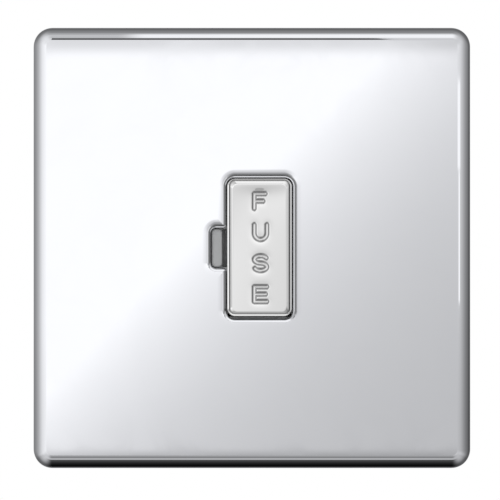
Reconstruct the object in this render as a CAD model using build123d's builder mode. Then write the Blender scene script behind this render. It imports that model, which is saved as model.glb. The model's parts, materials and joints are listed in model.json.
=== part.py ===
from build123d import *
import os

# Unswitched fused connection unit. A rolled-edge front plate clips over a steel mounting frame, which
# carries a two-part moulded module with a pull-out fuse carrier and six screw terminals.
# Frame: X to the right, Z up, Y into the wall. The wall is Y = 0 and the plate faces -Y. Millimetres.

# Front plate
plate_width = 95.0
plate_height = 95.8
plate_sheet = 0.8
plate_corner = 4.0
plate_roll = 2.8
skirt_gap = 0.3
aperture_corner = 1.7
aperture_roll = 0.6
aperture_lip = 1.7
notch_reach = 3.3
notch_height = 8.9
notch_corner = 1.25

# Layers between the front plate and the wall
gasket_sheet = 0.8
gasket_band = 7.0
gasket_margin = 0.5
frame_sheet = 1.2
frame_margin = 3.0
frame_corner = 2.5
liner_space = 2.2
liner_sheet = 1.0
liner_corner = 2.0
liner_gap = 0.2
rib_inset = 1.0
rib_sheet = 1.2
rib_gap = 0.1
leg_spread = 30.0
leg_offset = 3.5
leg_width = 5.0
leg_sheet = 1.8
leg_reach = 2.0
leg_slit = 0.8
leg_slit_length = 3.0
leg_gap = 0.2
leg_chamfer = 0.4

# Cartridge fuse
fuse_length = 25.4
fuse_cap_radius = 3.175
fuse_cap_length = 6.0
fuse_cap_sheet = 0.25
fuse_cap_round = 0.3
fuse_fit_gap = 0.02

# Fuse clips and the brass strip that all current-carrying links are cut from
strip_sheet = 0.6
strip_width = 3.8
strip_gap = 0.2
jaw_gap = 0.1
jaw_flare = 0.825
jaw_flare_length = 1.2
jaw_reach = 1.2
jaw_floor_gap = 0.65
jaw_length = 4.6
jaw_bend = 0.6

# Fuse carrier
cap_gap = 0.3
cap_proud = 0.4
cap_seat_gap = 0.2
rim_width = 0.65
rim_round = 0.3
field_drop = 0.45
groove_width = 0.3
pillow_rise = 0.35
pillow_corner = 1.1
pillow_round = 0.3
body_inset = 0.35
body_wall = 1.2
end_wall = 1.75
side_wall = 1.2
side_gap = 0.74
fuse_front_gap = 0.2
fuse_end_gap = 0.2
cradle_gap = 0.1
cradle_wall = 1.1
cradle_length = 8.0
cradle_mouth = 4.6
prong_width = 2.4
prong_gap = 0.6
lug_rise = 0.9
lug_length = 1.5
carrier_travel = 11.0

# Moulded module
well_gap = 0.25
boss_margin = 2.5
boss_corner = 2.5
boss_round = 0.4
boss_gap = 0.4
lip_gap = 0.3
pad_rise = 0.9
pad_gap = 0.15
pad_end_gap = 0.3
pad_corner = 0.9
pad_round = 0.35
lever_slot = 1.15
lever_floor = 2.6
flange_sheet = 2.4
tube_wall = 1.2
tube_margin = 1.5
stop_inset = 0.7
stop_gap = 0.1
moulding_wall = 1.8
moulding_corner = 2.0
moulding_round = 0.8
moulding_gap = 0.25
chamber_wall = 1.2
pillar_width = 3.2
seat_inset = 0.5
panel_margin = 3.0
panel_depth = 0.5
panel_corner = 1.5

# Terminals
terminal_pitch = 14.0
block_width = 8.0
block_length = 9.0
block_depth = 10.0
block_gap = 0.25
block_recess = 1.45
block_ledge = 0.6
block_chamfer = 0.4
wire_radius = 2.4
wire_floor = 1.2
spigot_radius = 1.2
spigot_gap = 0.05
clamp_radius = 2.0
clamp_fit_gap = 0.05
clamp_tip_gap = 0.2
clamp_travel = 3.6
clamp_stop_gap = 0.4
clamp_head_radius = 2.8
clamp_head = 2.0
clamp_sink = 0.2
clamp_chamfer = 0.4

# Earth connections
tab_width = 4.0
tab_proud = 0.3
tab_gap = 0.2
spring_sheet = 0.3
spring_width = 5.0
spring_foot = 5.0
spring_rise = 6.0
spring_curl = 1.5
spring_drop = 0.6
spring_gap = 0.1
spring_bend = 0.8
spring_start = 18.0
spring_clearance = 1.2
spring_rivet_radius = 0.9
spring_rivet_head_radius = 1.6
spring_rivet_head = 0.5

# Fasteners
fixing_pitch = 60.3
fixing_radius = 1.75
fixing_neck_radius = 1.5
fixing_neck_proud = 0.2
fixing_length = 25.0
fixing_head_radius = 3.4
fixing_head_gap = 0.3
fixing_head_round = 0.8
fixing_slot_gap = 0.35
fixing_slot_length = 6.4
fixing_access_gap = 1.2
recess_length = 3.2
recess_width = 0.8
recess_depth = 1.0
rivet_radius = 1.2
rivet_spread = 22.0
rivet_head_radius = 2.2
rivet_tail_radius = 1.8
rivet_head = 0.7
rivet_fit_gap = 0.05
housing_shank_radius = 1.25
housing_fit_gap = 0.05
housing_head_radius = 2.5
housing_head = 1.8
housing_head_gap = 0.2
housing_sink = 0.4
housing_clear = 0.45
housing_boss_wall = 1.1
housing_sleeve_wall = 0.9
housing_sleeve_length = 10.0
housing_tip_floor = 3.4
driver_slot_width = 0.8
driver_slot_depth = 0.9
head_round = 0.4

# Depths of the layers, counted from the wall
frame_back = -gasket_sheet
frame_front = frame_back - frame_sheet
liner_front = frame_front - liner_space
liner_back = liner_front + liner_sheet
rib_back = frame_front - rib_gap
plate_front = liner_front - plate_sheet
skirt_back = -skirt_gap
lip_back = plate_front + aperture_lip
boss_front = lip_back + lip_gap
flange_back = frame_back + flange_sheet

# Depths of the carrier, the fuse and the brass strip
cap_front = plate_front - cap_proud
cap_back = boss_front - cap_seat_gap
body_wall_back = cap_back + body_wall
fuse_y = body_wall_back + fuse_front_gap + fuse_cap_radius
fuse_back = fuse_y + fuse_cap_radius
strip_front = fuse_back + jaw_floor_gap
strip_back = strip_front + strip_sheet
channel_front = flange_back - stop_inset
lug_front = channel_front + stop_gap + carrier_travel
prong_back = lug_front + lug_length
tube_back = prong_back + tube_margin

# Depths of the terminals and of the module's back
block_back = strip_back + block_depth
wire_y = strip_back + wire_floor + wire_radius
clamp_tip = wire_y + wire_radius + clamp_tip_gap
clamp_seat = block_back + clamp_travel + clamp_stop_gap
clamp_back = clamp_seat + clamp_head
module_back = max(clamp_back + clamp_sink, tube_back + moulding_gap + moulding_wall)
module_inside = module_back - moulding_wall

# Carrier and aperture sizes, built up from the fuse outwards
jaw_inner = fuse_cap_radius + jaw_gap
jaw_outer = jaw_inner + strip_sheet
body_width = 2 * (jaw_outer + jaw_flare + side_gap + side_wall)
body_height = fuse_length + 2 * (fuse_end_gap + end_wall)
cap_width = body_width + 2 * body_inset
cap_height = body_height + 2 * body_inset
cap_corner = aperture_corner - cap_gap
aperture_width = cap_width + 2 * cap_gap
aperture_height = cap_height + 2 * cap_gap
carrier_x = notch_reach / 2
notch_left = carrier_x - aperture_width / 2 - notch_reach
end_inner = fuse_length / 2 + fuse_end_gap
prong_x = strip_width / 2 + prong_gap + prong_width / 2
fuse_tube_radius = fuse_cap_radius - fuse_cap_sheet - fuse_fit_gap
cradle_inner = fuse_tube_radius + cradle_gap
cradle_outer = cradle_inner + cradle_wall
jaw_z = (fuse_length - fuse_cap_length) / 2

# Module sizes, built up from the carrier's well outwards
well_width = body_width + 2 * well_gap
well_height = body_height + 2 * well_gap
channel_half = body_height / 2 + lug_rise + well_gap
tube_half = channel_half + tube_wall
tube_width = well_width + 2 * tube_wall
boss_width = aperture_width + notch_reach + 2 * boss_margin
boss_height = aperture_height + 2 * boss_margin
chamber_inner = tube_half + moulding_gap + chamber_wall
chamber_width = block_width + 2 * block_gap
block_inner = chamber_inner + block_gap
block_outer = block_inner + block_length
terminal_z = (block_inner + block_outer) / 2
module_half_height = block_outer + block_recess
module_height = 2 * module_half_height
live_x = carrier_x
neutral_x = live_x - terminal_pitch
earth_x = live_x + terminal_pitch
housing_boss_radius = housing_shank_radius + housing_fit_gap + housing_boss_wall
housing_x = earth_x + strip_width / 2 + housing_clear + housing_boss_radius
module_half_width = housing_x + housing_boss_radius + moulding_gap + moulding_wall
module_width = 2 * module_half_width
panel_width = 2 * (housing_x - housing_head_radius - panel_margin)
panel_height = 2 * (chamber_inner - panel_margin)

# Outlines of the layers behind the plate
liner_width = plate_width - 2 * (plate_roll + liner_gap)
liner_height = plate_height - 2 * (plate_roll + liner_gap)
frame_width = plate_width - 2 * frame_margin
frame_height = plate_height - 2 * frame_margin
gasket_width = frame_width - 2 * gasket_margin
gasket_height = frame_height - 2 * gasket_margin
gasket_corner = frame_corner - gasket_margin

# Places of the fasteners, the clip legs and the earth parts
fixing_x = fixing_pitch / 2
fixing_head = liner_space - fixing_head_gap
leg_x = leg_spread / 2
leg_z = module_half_height + leg_offset
rivet_x = (boss_width / 2 + module_half_width) / 2
rivet_z = rivet_spread / 2
housing_bore_radius = housing_head_radius + housing_head_gap
housing_split = module_back - housing_sleeve_length
housing_seat = module_back - housing_sink - housing_head
housing_tip = flange_back + housing_tip_floor
tab_x = earth_x + (strip_width - strip_sheet) / 2
tab_front = frame_front - tab_proud
spring_x = fixing_x
spring_rivet_z = spring_start + spring_foot / 2
spring_length = spring_foot + spring_rise + spring_curl

# Repeated places as (x, z) pairs on planes parallel to the wall
leg_places = [(sx * leg_x, sz * leg_z) for sx in (-1, 1) for sz in (-1, 1)]
rivet_places = [(sx * rivet_x, sz * rivet_z) for sx in (-1, 1) for sz in (-1, 1)]
housing_places = [(-housing_x, 0), (housing_x, 0)]
fixing_places = [(-fixing_x, 0), (fixing_x, 0)]
prong_places = [(carrier_x - prong_x, 1), (carrier_x + prong_x, 1)]
prong_places += [(x, -side) for x, side in prong_places]

# The terminals stand in three columns, supply at the top and load at the bottom
columns = {"neutral": neutral_x, "live": live_x, "earth": earth_x}
sides = {"supply": 1, "load": -1}
terminal_places = [(x, side * terminal_z) for x in columns.values() for side in sides.values()]

# Boxes that are placed by the middle of their front face
FROM_FRONT = (Align.CENTER, Align.MIN, Align.CENTER)


def wall_plane(y):
    """Sketch plane parallel to the wall: local x is X, local y is Z, and extrusion runs forwards."""
    return Plane.XZ.offset(-y)


def aperture_outline(grow):
    """Outline of the plate's aperture, carrier opening and notch together, grown by a margin."""
    with BuildSketch() as outline:
        with Locations((carrier_x, 0)):
            RectangleRounded(aperture_width, aperture_height, aperture_corner)
        with Locations((notch_left, 0)):
            Rectangle(notch_reach + aperture_width / 2, notch_height, align=(Align.MIN, Align.CENTER))
        notch_vertices = outline.vertices().filter_by(
            lambda vertex: abs(abs(vertex.Y) - notch_height / 2) < plate_sheet / 100
        )
        fillet(notch_vertices, notch_corner)
        if grow > 0:
            offset(amount=grow)
    return outline.sketch_local


os.makedirs("parts", exist_ok=True)

# Front plate: pressed sheet with rolled edges and a turned-in lip round the aperture
with BuildPart() as front_plate:
    with BuildSketch(wall_plane(skirt_back)):
        RectangleRounded(plate_width, plate_height, plate_corner)
    extrude(amount=skirt_back - plate_front)
    fillet(front_plate.faces().sort_by(Axis.Y)[0].edges(), plate_roll)
    offset(amount=-plate_sheet, openings=front_plate.faces().sort_by(Axis.Y)[-1])
    with BuildSketch(wall_plane(lip_back)):
        add(aperture_outline(plate_sheet))
    extrude(amount=aperture_lip - plate_sheet / 2)
    with BuildSketch(wall_plane(lip_back)):
        add(aperture_outline(0))
    extrude(amount=2 * aperture_lip, mode=Mode.SUBTRACT)
    fillet(front_plate.faces().sort_by(Axis.Y)[0].inner_wires()[0].edges(), aperture_roll)
front_plate.part.label = "front_plate"
export_step(front_plate.part, "parts/front_plate.step")

# Plate liner: moulded sheet bonded into the plate, with an edge rib and four split clip legs
with BuildPart() as plate_liner:
    with BuildSketch(wall_plane(liner_back)):
        RectangleRounded(liner_width, liner_height, liner_corner)
        RectangleRounded(
            boss_width + 2 * boss_gap, boss_height + 2 * boss_gap, boss_corner, mode=Mode.SUBTRACT
        )
        with Locations(*fixing_places):
            Circle(fixing_head_radius + fixing_access_gap, mode=Mode.SUBTRACT)
        with Locations((spring_x, spring_start + spring_length / 2)):
            Rectangle(
                spring_width + 2 * spring_clearance,
                spring_length + 2 * spring_clearance,
                mode=Mode.SUBTRACT,
            )
    extrude(amount=liner_sheet)
    with BuildSketch(wall_plane(rib_back)):
        RectangleRounded(liner_width - 2 * rib_inset, liner_height - 2 * rib_inset, liner_corner)
        offset(amount=-rib_sheet, mode=Mode.SUBTRACT)
    extrude(amount=rib_back - liner_back)
    with BuildSketch(wall_plane(leg_reach)):
        with Locations(*leg_places):
            Rectangle(leg_width, leg_sheet)
    extrude(amount=leg_reach - liner_back)
    chamfer(plate_liner.faces().sort_by(Axis.Y)[-4:].edges(), leg_chamfer)
    with BuildSketch(wall_plane(leg_reach)):
        with Locations(*leg_places):
            Rectangle(leg_slit, leg_sheet)
    extrude(amount=leg_slit_length, mode=Mode.SUBTRACT)
plate_liner.part.label = "plate_liner"
export_step(plate_liner.part, "parts/plate_liner.step")

# Mounting frame: flat steel plate with fixing slots and windows for the module, legs and earth tab
with BuildPart() as mounting_frame:
    with BuildSketch(wall_plane(frame_back)):
        RectangleRounded(frame_width, frame_height, frame_corner)
        RectangleRounded(
            boss_width + 2 * boss_gap, boss_height + 2 * boss_gap, boss_corner, mode=Mode.SUBTRACT
        )
        with Locations(*fixing_places):
            SlotOverall(
                fixing_slot_length,
                2 * (fixing_radius + fixing_slot_gap),
                rotation=90,
                mode=Mode.SUBTRACT,
            )
        with Locations(*leg_places):
            Rectangle(leg_width + 2 * leg_gap, leg_sheet + 2 * leg_gap, mode=Mode.SUBTRACT)
        with Locations(*rivet_places):
            Circle(rivet_radius + rivet_fit_gap, mode=Mode.SUBTRACT)
        with Locations((tab_x, 0)):
            Rectangle(strip_sheet + 2 * tab_gap, tab_width + 2 * tab_gap, mode=Mode.SUBTRACT)
        with Locations((spring_x, spring_rivet_z)):
            Circle(spring_rivet_radius + rivet_fit_gap, mode=Mode.SUBTRACT)
    extrude(amount=frame_sheet)
mounting_frame.part.label = "mounting_frame"
export_step(mounting_frame.part, "parts/mounting_frame.step")

# Wall gasket: flat ring that lies between the mounting frame and the wall
with BuildPart() as wall_gasket:
    with BuildSketch(wall_plane(0)):
        RectangleRounded(gasket_width, gasket_height, gasket_corner)
        RectangleRounded(
            gasket_width - 2 * gasket_band,
            gasket_height - 2 * gasket_band,
            gasket_corner,
            mode=Mode.SUBTRACT,
        )
    extrude(amount=gasket_sheet)
wall_gasket.part.label = "wall_gasket"
export_step(wall_gasket.part, "parts/wall_gasket.step")

# Front moulding: flange behind the frame, boss through its window, ledge in the notch and carrier well
pad_left = notch_left + pad_gap
pad_right = carrier_x - well_width / 2 - lever_slot
pad_x = (pad_left + pad_right) / 2
pad_height = notch_height - 2 * pad_end_gap
with BuildPart() as front_moulding:
    with BuildSketch(wall_plane(frame_back)):
        RectangleRounded(boss_width, boss_height, boss_corner)
    extrude(amount=frame_back - boss_front)
    fillet(front_moulding.faces().sort_by(Axis.Y)[0].edges(), boss_round)
    with BuildSketch(wall_plane(boss_front)):
        with Locations((pad_x, 0)):
            RectangleRounded(pad_right - pad_left, pad_height, pad_corner)
    extrude(amount=pad_rise)
    fillet(front_moulding.faces().sort_by(Axis.Y)[0].edges(), pad_round)
    with BuildSketch(wall_plane(flange_back)):
        RectangleRounded(module_width, module_height, moulding_corner)
    extrude(amount=flange_sheet)
    with BuildSketch(wall_plane(tube_back)):
        with Locations((carrier_x, 0)):
            Rectangle(tube_width, 2 * tube_half)
    extrude(amount=tube_back - flange_back)
    with BuildSketch(wall_plane(housing_split)):
        with Locations(*housing_places):
            Circle(housing_boss_radius)
    extrude(amount=housing_split - flange_back)
    with BuildSketch(wall_plane(strip_front)):
        with Locations(*terminal_places):
            Rectangle(block_width - 2 * seat_inset, block_length - 2 * seat_inset)
    extrude(amount=strip_front - flange_back)
    # Well for the carrier, with four channels for its stop lugs
    with BuildSketch(wall_plane(tube_back)):
        with Locations((carrier_x, 0)):
            Rectangle(well_width, well_height)
    extrude(amount=tube_back - boss_front, mode=Mode.SUBTRACT)
    with BuildSketch(wall_plane(tube_back)):
        with Locations(*[(x, side * channel_half / 2) for x, side in prong_places]):
            Rectangle(prong_width + 2 * well_gap, channel_half)
    extrude(amount=tube_back - channel_front, mode=Mode.SUBTRACT)
    # Slots in the well's ends for the tails of the fuse clips, open to the back
    with BuildSketch(wall_plane(tube_back)):
        with Locations((carrier_x, 0)):
            Rectangle(strip_width + 2 * strip_gap, 2 * tube_half)
    extrude(amount=tube_back - strip_front, mode=Mode.SUBTRACT)
    # Lever slot between the ledge and the carrier
    with BuildSketch(wall_plane(flange_back - lever_floor)):
        with Locations((pad_right, 0)):
            Rectangle(2 * lever_slot, pad_height, align=(Align.MIN, Align.CENTER))
    extrude(amount=flange_back - lever_floor - boss_front, mode=Mode.SUBTRACT)
    # Holes for the housing screws, the rivets and the earth tab
    with BuildSketch(wall_plane(housing_split)):
        with Locations(*housing_places):
            Circle(housing_shank_radius + housing_fit_gap)
    extrude(amount=housing_split - housing_tip, mode=Mode.SUBTRACT)
    with BuildSketch(wall_plane(flange_back)):
        with Locations(*rivet_places):
            Circle(rivet_radius + rivet_fit_gap)
        with Locations((tab_x, 0)):
            Rectangle(strip_sheet + 2 * tab_gap, tab_width + 2 * tab_gap)
    extrude(amount=flange_sheet, mode=Mode.SUBTRACT)
front_moulding.part.label = "front_moulding"
export_step(front_moulding.part, "parts/front_moulding.step")

# Rear moulding: open-fronted box with six terminal chambers, clip pillars and screw sleeves
with BuildPart() as rear_moulding:
    with BuildSketch(wall_plane(module_back)):
        RectangleRounded(module_width, module_height, moulding_corner)
    extrude(amount=module_back - flange_back)
    fillet(rear_moulding.faces().sort_by(Axis.Y)[-1].edges(), moulding_round)
    with BuildSketch(wall_plane(module_inside)):
        Rectangle(module_width - 2 * moulding_wall, module_height - 2 * moulding_wall)
    extrude(amount=module_inside - flange_back, mode=Mode.SUBTRACT)
    # Chamber walls reach half-way into the shell, so that they join it without passing its rounded edges
    wall_reach = module_half_height - moulding_wall / 2 - (chamber_inner - chamber_wall)
    wall_middle = chamber_inner - chamber_wall + wall_reach / 2
    with BuildSketch(wall_plane(module_back - moulding_wall / 2)):
        with Locations(*[(x, side * wall_middle) for x in columns.values() for side in sides.values()]):
            Rectangle(chamber_width + 2 * chamber_wall, wall_reach)
        with Locations(*[(carrier_x, side * jaw_z) for side in sides.values()]):
            Rectangle(pillar_width, pillar_width)
    extrude(amount=module_back - moulding_wall / 2 - flange_back)
    with BuildSketch(wall_plane(strip_back)):
        with Locations((carrier_x, 0)):
            Rectangle(well_width, well_height)
    extrude(amount=strip_back - flange_back, mode=Mode.SUBTRACT)
    with BuildSketch(wall_plane(module_back - moulding_wall / 2)):
        with Locations(*housing_places):
            Circle(housing_bore_radius + housing_sleeve_wall)
    extrude(amount=module_back - moulding_wall / 2 - housing_split)
    # Chambers: a pocket that takes the block from the front, and a narrower slot behind it for its screw
    chamber_reach = module_half_height - chamber_inner + moulding_wall
    chamber_middle = chamber_inner + chamber_reach / 2
    chamber_places = [(x, side * chamber_middle) for x in columns.values() for side in sides.values()]
    with BuildSketch(wall_plane(block_back + block_gap)):
        with Locations(*chamber_places):
            Rectangle(chamber_width, chamber_reach)
    extrude(amount=block_back + block_gap - flange_back, mode=Mode.SUBTRACT)
    with BuildSketch(wall_plane(module_back)):
        with Locations(*chamber_places):
            Rectangle(block_width - 2 * block_ledge, chamber_reach)
    extrude(amount=module_back - flange_back, mode=Mode.SUBTRACT)
    # Notches in the chambers' inner walls for the brass strips, open to the front
    with BuildSketch(wall_plane(strip_back + strip_gap)):
        with Locations(*[(x, side * chamber_inner) for x in columns.values() for side in sides.values()]):
            Rectangle(strip_width + 2 * strip_gap, 2 * chamber_wall)
    extrude(amount=strip_back + strip_gap - flange_back, mode=Mode.SUBTRACT)
    # Sunk panel in the back face, between the terminals and the housing screws
    with BuildSketch(wall_plane(module_back)):
        RectangleRounded(panel_width, panel_height, panel_corner)
    extrude(amount=panel_depth, mode=Mode.SUBTRACT)
    # Stepped holes for the housing screws
    with BuildSketch(wall_plane(module_back)):
        with Locations(*housing_places):
            Circle(housing_bore_radius)
    extrude(amount=module_back - housing_seat, mode=Mode.SUBTRACT)
    with BuildSketch(wall_plane(module_back)):
        with Locations(*housing_places):
            Circle(housing_shank_radius + housing_fit_gap)
    extrude(amount=module_back - housing_split, mode=Mode.SUBTRACT)
rear_moulding.part.label = "rear_moulding"
export_step(rear_moulding.part, "parts/rear_moulding.step")

# Carrier body: face wall, end walls with guide prongs and stop lugs, side wall and a fuse cradle
with BuildPart() as carrier_body:
    with BuildSketch(wall_plane(body_wall_back)):
        with Locations((carrier_x, 0)):
            RectangleRounded(body_width, body_height, cap_corner - body_inset)
    extrude(amount=body_wall)
    end_middle = (end_inner + body_height / 2) / 2
    with BuildSketch(wall_plane(strip_front - prong_gap)):
        with Locations(*[(carrier_x, side * end_middle) for side in sides.values()]):
            Rectangle(2 * prong_x + prong_width, end_wall)
        with Locations((carrier_x + body_width / 2 - side_wall / 2, 0)):
            Rectangle(side_wall, 2 * end_inner)
    extrude(amount=strip_front - prong_gap - body_wall_back)
    with BuildSketch(wall_plane(prong_back)):
        with Locations(*[(x, side * end_middle) for x, side in prong_places]):
            Rectangle(prong_width, end_wall)
    extrude(amount=prong_back - body_wall_back)
    with BuildSketch(wall_plane(prong_back)):
        with Locations(*[(x, side * body_height / 2) for x, side in prong_places]):
            Rectangle(prong_width, 2 * lug_rise)
    extrude(amount=lug_length)
    with BuildSketch(Plane.XY.offset(-cradle_length / 2)):
        with Locations((carrier_x, fuse_y)):
            Circle(cradle_outer)
        with Locations((carrier_x, body_wall_back)):
            Rectangle(2 * cradle_outer, fuse_y - body_wall_back, align=(Align.CENTER, Align.MIN))
        with Locations((carrier_x, fuse_y)):
            Circle(cradle_inner, mode=Mode.SUBTRACT)
            Rectangle(
                2 * cradle_outer,
                cradle_mouth,
                align=(Align.MAX, Align.CENTER),
                mode=Mode.SUBTRACT,
            )
    extrude(amount=cradle_length)
carrier_body.part.label = "carrier_body"
export_step(carrier_body.part, "parts/carrier_body.step")

# Carrier cap: raised rim, sunk groove and a pillow field with rounded edges
with BuildPart() as carrier_cap:
    with BuildSketch(wall_plane(cap_back)):
        with Locations((carrier_x, 0)):
            RectangleRounded(cap_width, cap_height, cap_corner)
    extrude(amount=cap_back - cap_front)
    with BuildSketch(wall_plane(cap_front + field_drop)):
        with Locations((carrier_x, 0)):
            RectangleRounded(cap_width - 2 * rim_width, cap_height - 2 * rim_width, cap_corner - rim_width)
    extrude(amount=field_drop, mode=Mode.SUBTRACT)
    fillet(carrier_cap.faces().sort_by(Axis.Y)[0].edges(), rim_round)
    pillow_inset = rim_width + groove_width
    with BuildSketch(wall_plane(cap_front + field_drop)):
        with Locations((carrier_x, 0)):
            RectangleRounded(cap_width - 2 * pillow_inset, cap_height - 2 * pillow_inset, pillow_corner)
    extrude(amount=pillow_rise)
    pillow_face = carrier_cap.faces().filter_by(Plane.XZ).sort_by(SortBy.AREA)[-2]
    fillet(pillow_face.edges(), pillow_round)
carrier_cap.part.label = "carrier_cap"
export_step(carrier_cap.part, "parts/carrier_cap.step")

# Cartridge fuse: ceramic tube, lying upright in the carrier's cradle
with BuildPart() as fuse_tube:
    with BuildSketch(Plane.XY.offset(-fuse_length / 2 + fuse_cap_sheet)):
        with Locations((carrier_x, fuse_y)):
            Circle(fuse_tube_radius)
    extrude(amount=fuse_length - 2 * fuse_cap_sheet)
fuse_tube.part.label = "fuse_tube"
export_step(fuse_tube.part, "parts/fuse_tube.step")

# Fuse end caps: drawn cups over the ends of the tube
for cap_name, side in (("fuse_cap_upper", 1), ("fuse_cap_lower", -1)):
    with BuildPart() as fuse_cap:
        with BuildSketch(Plane.XY.offset(side * fuse_length / 2)):
            with Locations((carrier_x, fuse_y)):
                Circle(fuse_cap_radius)
        extrude(amount=-side * fuse_cap_length)
        fillet(fuse_cap.edges().group_by(Axis.Z)[-1 if side > 0 else 0], fuse_cap_round)
        with BuildSketch(Plane.XY.offset(side * (fuse_length / 2 - fuse_cap_sheet))):
            with Locations((carrier_x, fuse_y)):
                Circle(fuse_tube_radius + fuse_fit_gap)
        extrude(amount=-side * fuse_cap_length, mode=Mode.SUBTRACT)
    fuse_cap.part.label = cap_name
    export_step(fuse_cap.part, f"parts/{cap_name}.step")

# Fuse clips: bent strip with two flared jaws round an end cap and a tail to the live terminal
for side_name, side in sides.items():
    jaw_path = [
        (carrier_x + jaw_outer + jaw_flare - strip_sheet / 2, fuse_y - jaw_reach - jaw_flare_length),
        (carrier_x + jaw_outer - strip_sheet / 2, fuse_y - jaw_reach),
        (carrier_x + jaw_outer - strip_sheet / 2, strip_front + strip_sheet / 2),
    ]
    jaw_path += [(2 * carrier_x - x, y) for x, y in reversed(jaw_path)]
    with BuildPart() as fuse_clip:
        with BuildSketch(Plane.XY.offset(side * (jaw_z - jaw_length / 2))):
            with BuildLine():
                FilletPolyline(*jaw_path, radius=jaw_bend)
            trace(line_width=strip_sheet)
        extrude(amount=side * jaw_length)
        with BuildSketch(wall_plane(strip_back)):
            with Locations((carrier_x, side * (jaw_z + block_outer) / 2)):
                Rectangle(strip_width, block_outer - jaw_z)
        extrude(amount=strip_sheet)
        with BuildSketch(wall_plane(strip_back)):
            with Locations((live_x, side * terminal_z)):
                Circle(spigot_radius + spigot_gap)
        extrude(amount=strip_sheet, mode=Mode.SUBTRACT)
    fuse_clip.part.label = f"{side_name}_fuse_clip"
    export_step(fuse_clip.part, f"parts/{side_name}_fuse_clip.step")

# Neutral link: straight strip between the two neutral terminals
with BuildPart() as neutral_link:
    with BuildSketch(wall_plane(strip_back)):
        with Locations((neutral_x, 0)):
            Rectangle(strip_width, 2 * block_outer)
        with Locations((neutral_x, terminal_z), (neutral_x, -terminal_z)):
            Circle(spigot_radius + spigot_gap, mode=Mode.SUBTRACT)
    extrude(amount=strip_sheet)
neutral_link.part.label = "neutral_link"
export_step(neutral_link.part, "parts/neutral_link.step")

# Earth strap: strip between the two earth terminals, with a wing bent forwards through the frame
with BuildPart() as earth_strap:
    with BuildSketch(wall_plane(strip_back)):
        with Locations((earth_x, 0)):
            Rectangle(strip_width, 2 * block_outer)
        with Locations((earth_x, terminal_z), (earth_x, -terminal_z)):
            Circle(spigot_radius + spigot_gap, mode=Mode.SUBTRACT)
    extrude(amount=strip_sheet)
    with BuildSketch(wall_plane(strip_back)):
        with Locations((tab_x, 0)):
            Rectangle(strip_sheet, tab_width)
    extrude(amount=strip_back - tab_front)
earth_strap.part.label = "earth_strap"
export_step(earth_strap.part, "parts/earth_strap.step")

# Terminal blocks, each with a wire bore along Z, a threaded hole from the back and a staked spigot
for side_name, side in sides.items():
    for line_name, x in columns.items():
        with BuildPart() as terminal_block:
            with Locations((x, strip_back, side * terminal_z)):
                Box(block_width, block_depth, block_length, align=FROM_FRONT)
            chamfer(terminal_block.edges(), block_chamfer)
            with Locations((x, wire_y, side * terminal_z)):
                Cylinder(wire_radius, block_length, mode=Mode.SUBTRACT)
            with BuildSketch(wall_plane(block_back)):
                with Locations((x, side * terminal_z)):
                    Circle(clamp_radius + clamp_fit_gap)
            extrude(amount=block_back - wire_y, mode=Mode.SUBTRACT)
            with BuildSketch(wall_plane(strip_back)):
                with Locations((x, side * terminal_z)):
                    Circle(spigot_radius)
            extrude(amount=strip_sheet)
        terminal_block.part.label = f"{line_name}_{side_name}_terminal"
        export_step(terminal_block.part, f"parts/{line_name}_{side_name}_terminal.step")

# Terminal screws, backed out so that the wire bores are free
for side_name, side in sides.items():
    for line_name, x in columns.items():
        place = (x, side * terminal_z)
        with BuildPart() as terminal_screw:
            with BuildSketch(wall_plane(clamp_seat)):
                with Locations(place):
                    Circle(clamp_radius)
            extrude(amount=clamp_seat - clamp_tip)
            chamfer(terminal_screw.edges().group_by(Axis.Y)[0], clamp_chamfer)
            with BuildSketch(wall_plane(clamp_back)):
                with Locations(place):
                    Circle(clamp_head_radius)
            extrude(amount=clamp_head)
            fillet(terminal_screw.edges().group_by(Axis.Y)[-1], head_round)
            with BuildSketch(wall_plane(clamp_back)):
                with Locations(place):
                    Rectangle(2 * clamp_head_radius, driver_slot_width)
            extrude(amount=driver_slot_depth, mode=Mode.SUBTRACT)
        terminal_screw.part.label = f"{line_name}_{side_name}_screw"
        export_step(terminal_screw.part, f"parts/{line_name}_{side_name}_screw.step")

# Earth spring: bent leaf on the frame that presses on the back of the plate
foot_y = frame_front - spring_sheet / 2
touch_y = liner_front + spring_gap + spring_sheet / 2
with BuildPart() as earth_spring:
    with BuildSketch(Plane.YZ.offset(spring_x - spring_width / 2)):
        with BuildLine():
            FilletPolyline(
                (foot_y, spring_start),
                (foot_y, spring_start + spring_foot),
                (touch_y, spring_start + spring_foot + spring_rise),
                (touch_y + spring_drop, spring_start + spring_length),
                radius=spring_bend,
            )
        trace(line_width=spring_sheet)
    extrude(amount=spring_width)
    with BuildSketch(wall_plane(frame_front)):
        with Locations((spring_x, spring_rivet_z)):
            Circle(spring_rivet_radius + rivet_fit_gap)
    extrude(amount=spring_sheet, mode=Mode.SUBTRACT)
earth_spring.part.label = "earth_spring"
export_step(earth_spring.part, "parts/earth_spring.step")

# Rivet that holds the earth spring to the frame
with BuildPart() as earth_spring_rivet:
    with BuildSketch(wall_plane(frame_back)):
        with Locations((spring_x, spring_rivet_z)):
            Circle(spring_rivet_radius)
    extrude(amount=frame_sheet + spring_sheet)
    with BuildSketch(wall_plane(frame_front - spring_sheet), wall_plane(frame_back + spring_rivet_head)):
        with Locations((spring_x, spring_rivet_z)):
            Circle(spring_rivet_head_radius)
    extrude(amount=spring_rivet_head)
    fillet(earth_spring_rivet.edges().group_by(Axis.Y)[0], spring_rivet_head / 2)
earth_spring_rivet.part.label = "earth_spring_rivet"
export_step(earth_spring_rivet.part, "parts/earth_spring_rivet.step")

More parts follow.
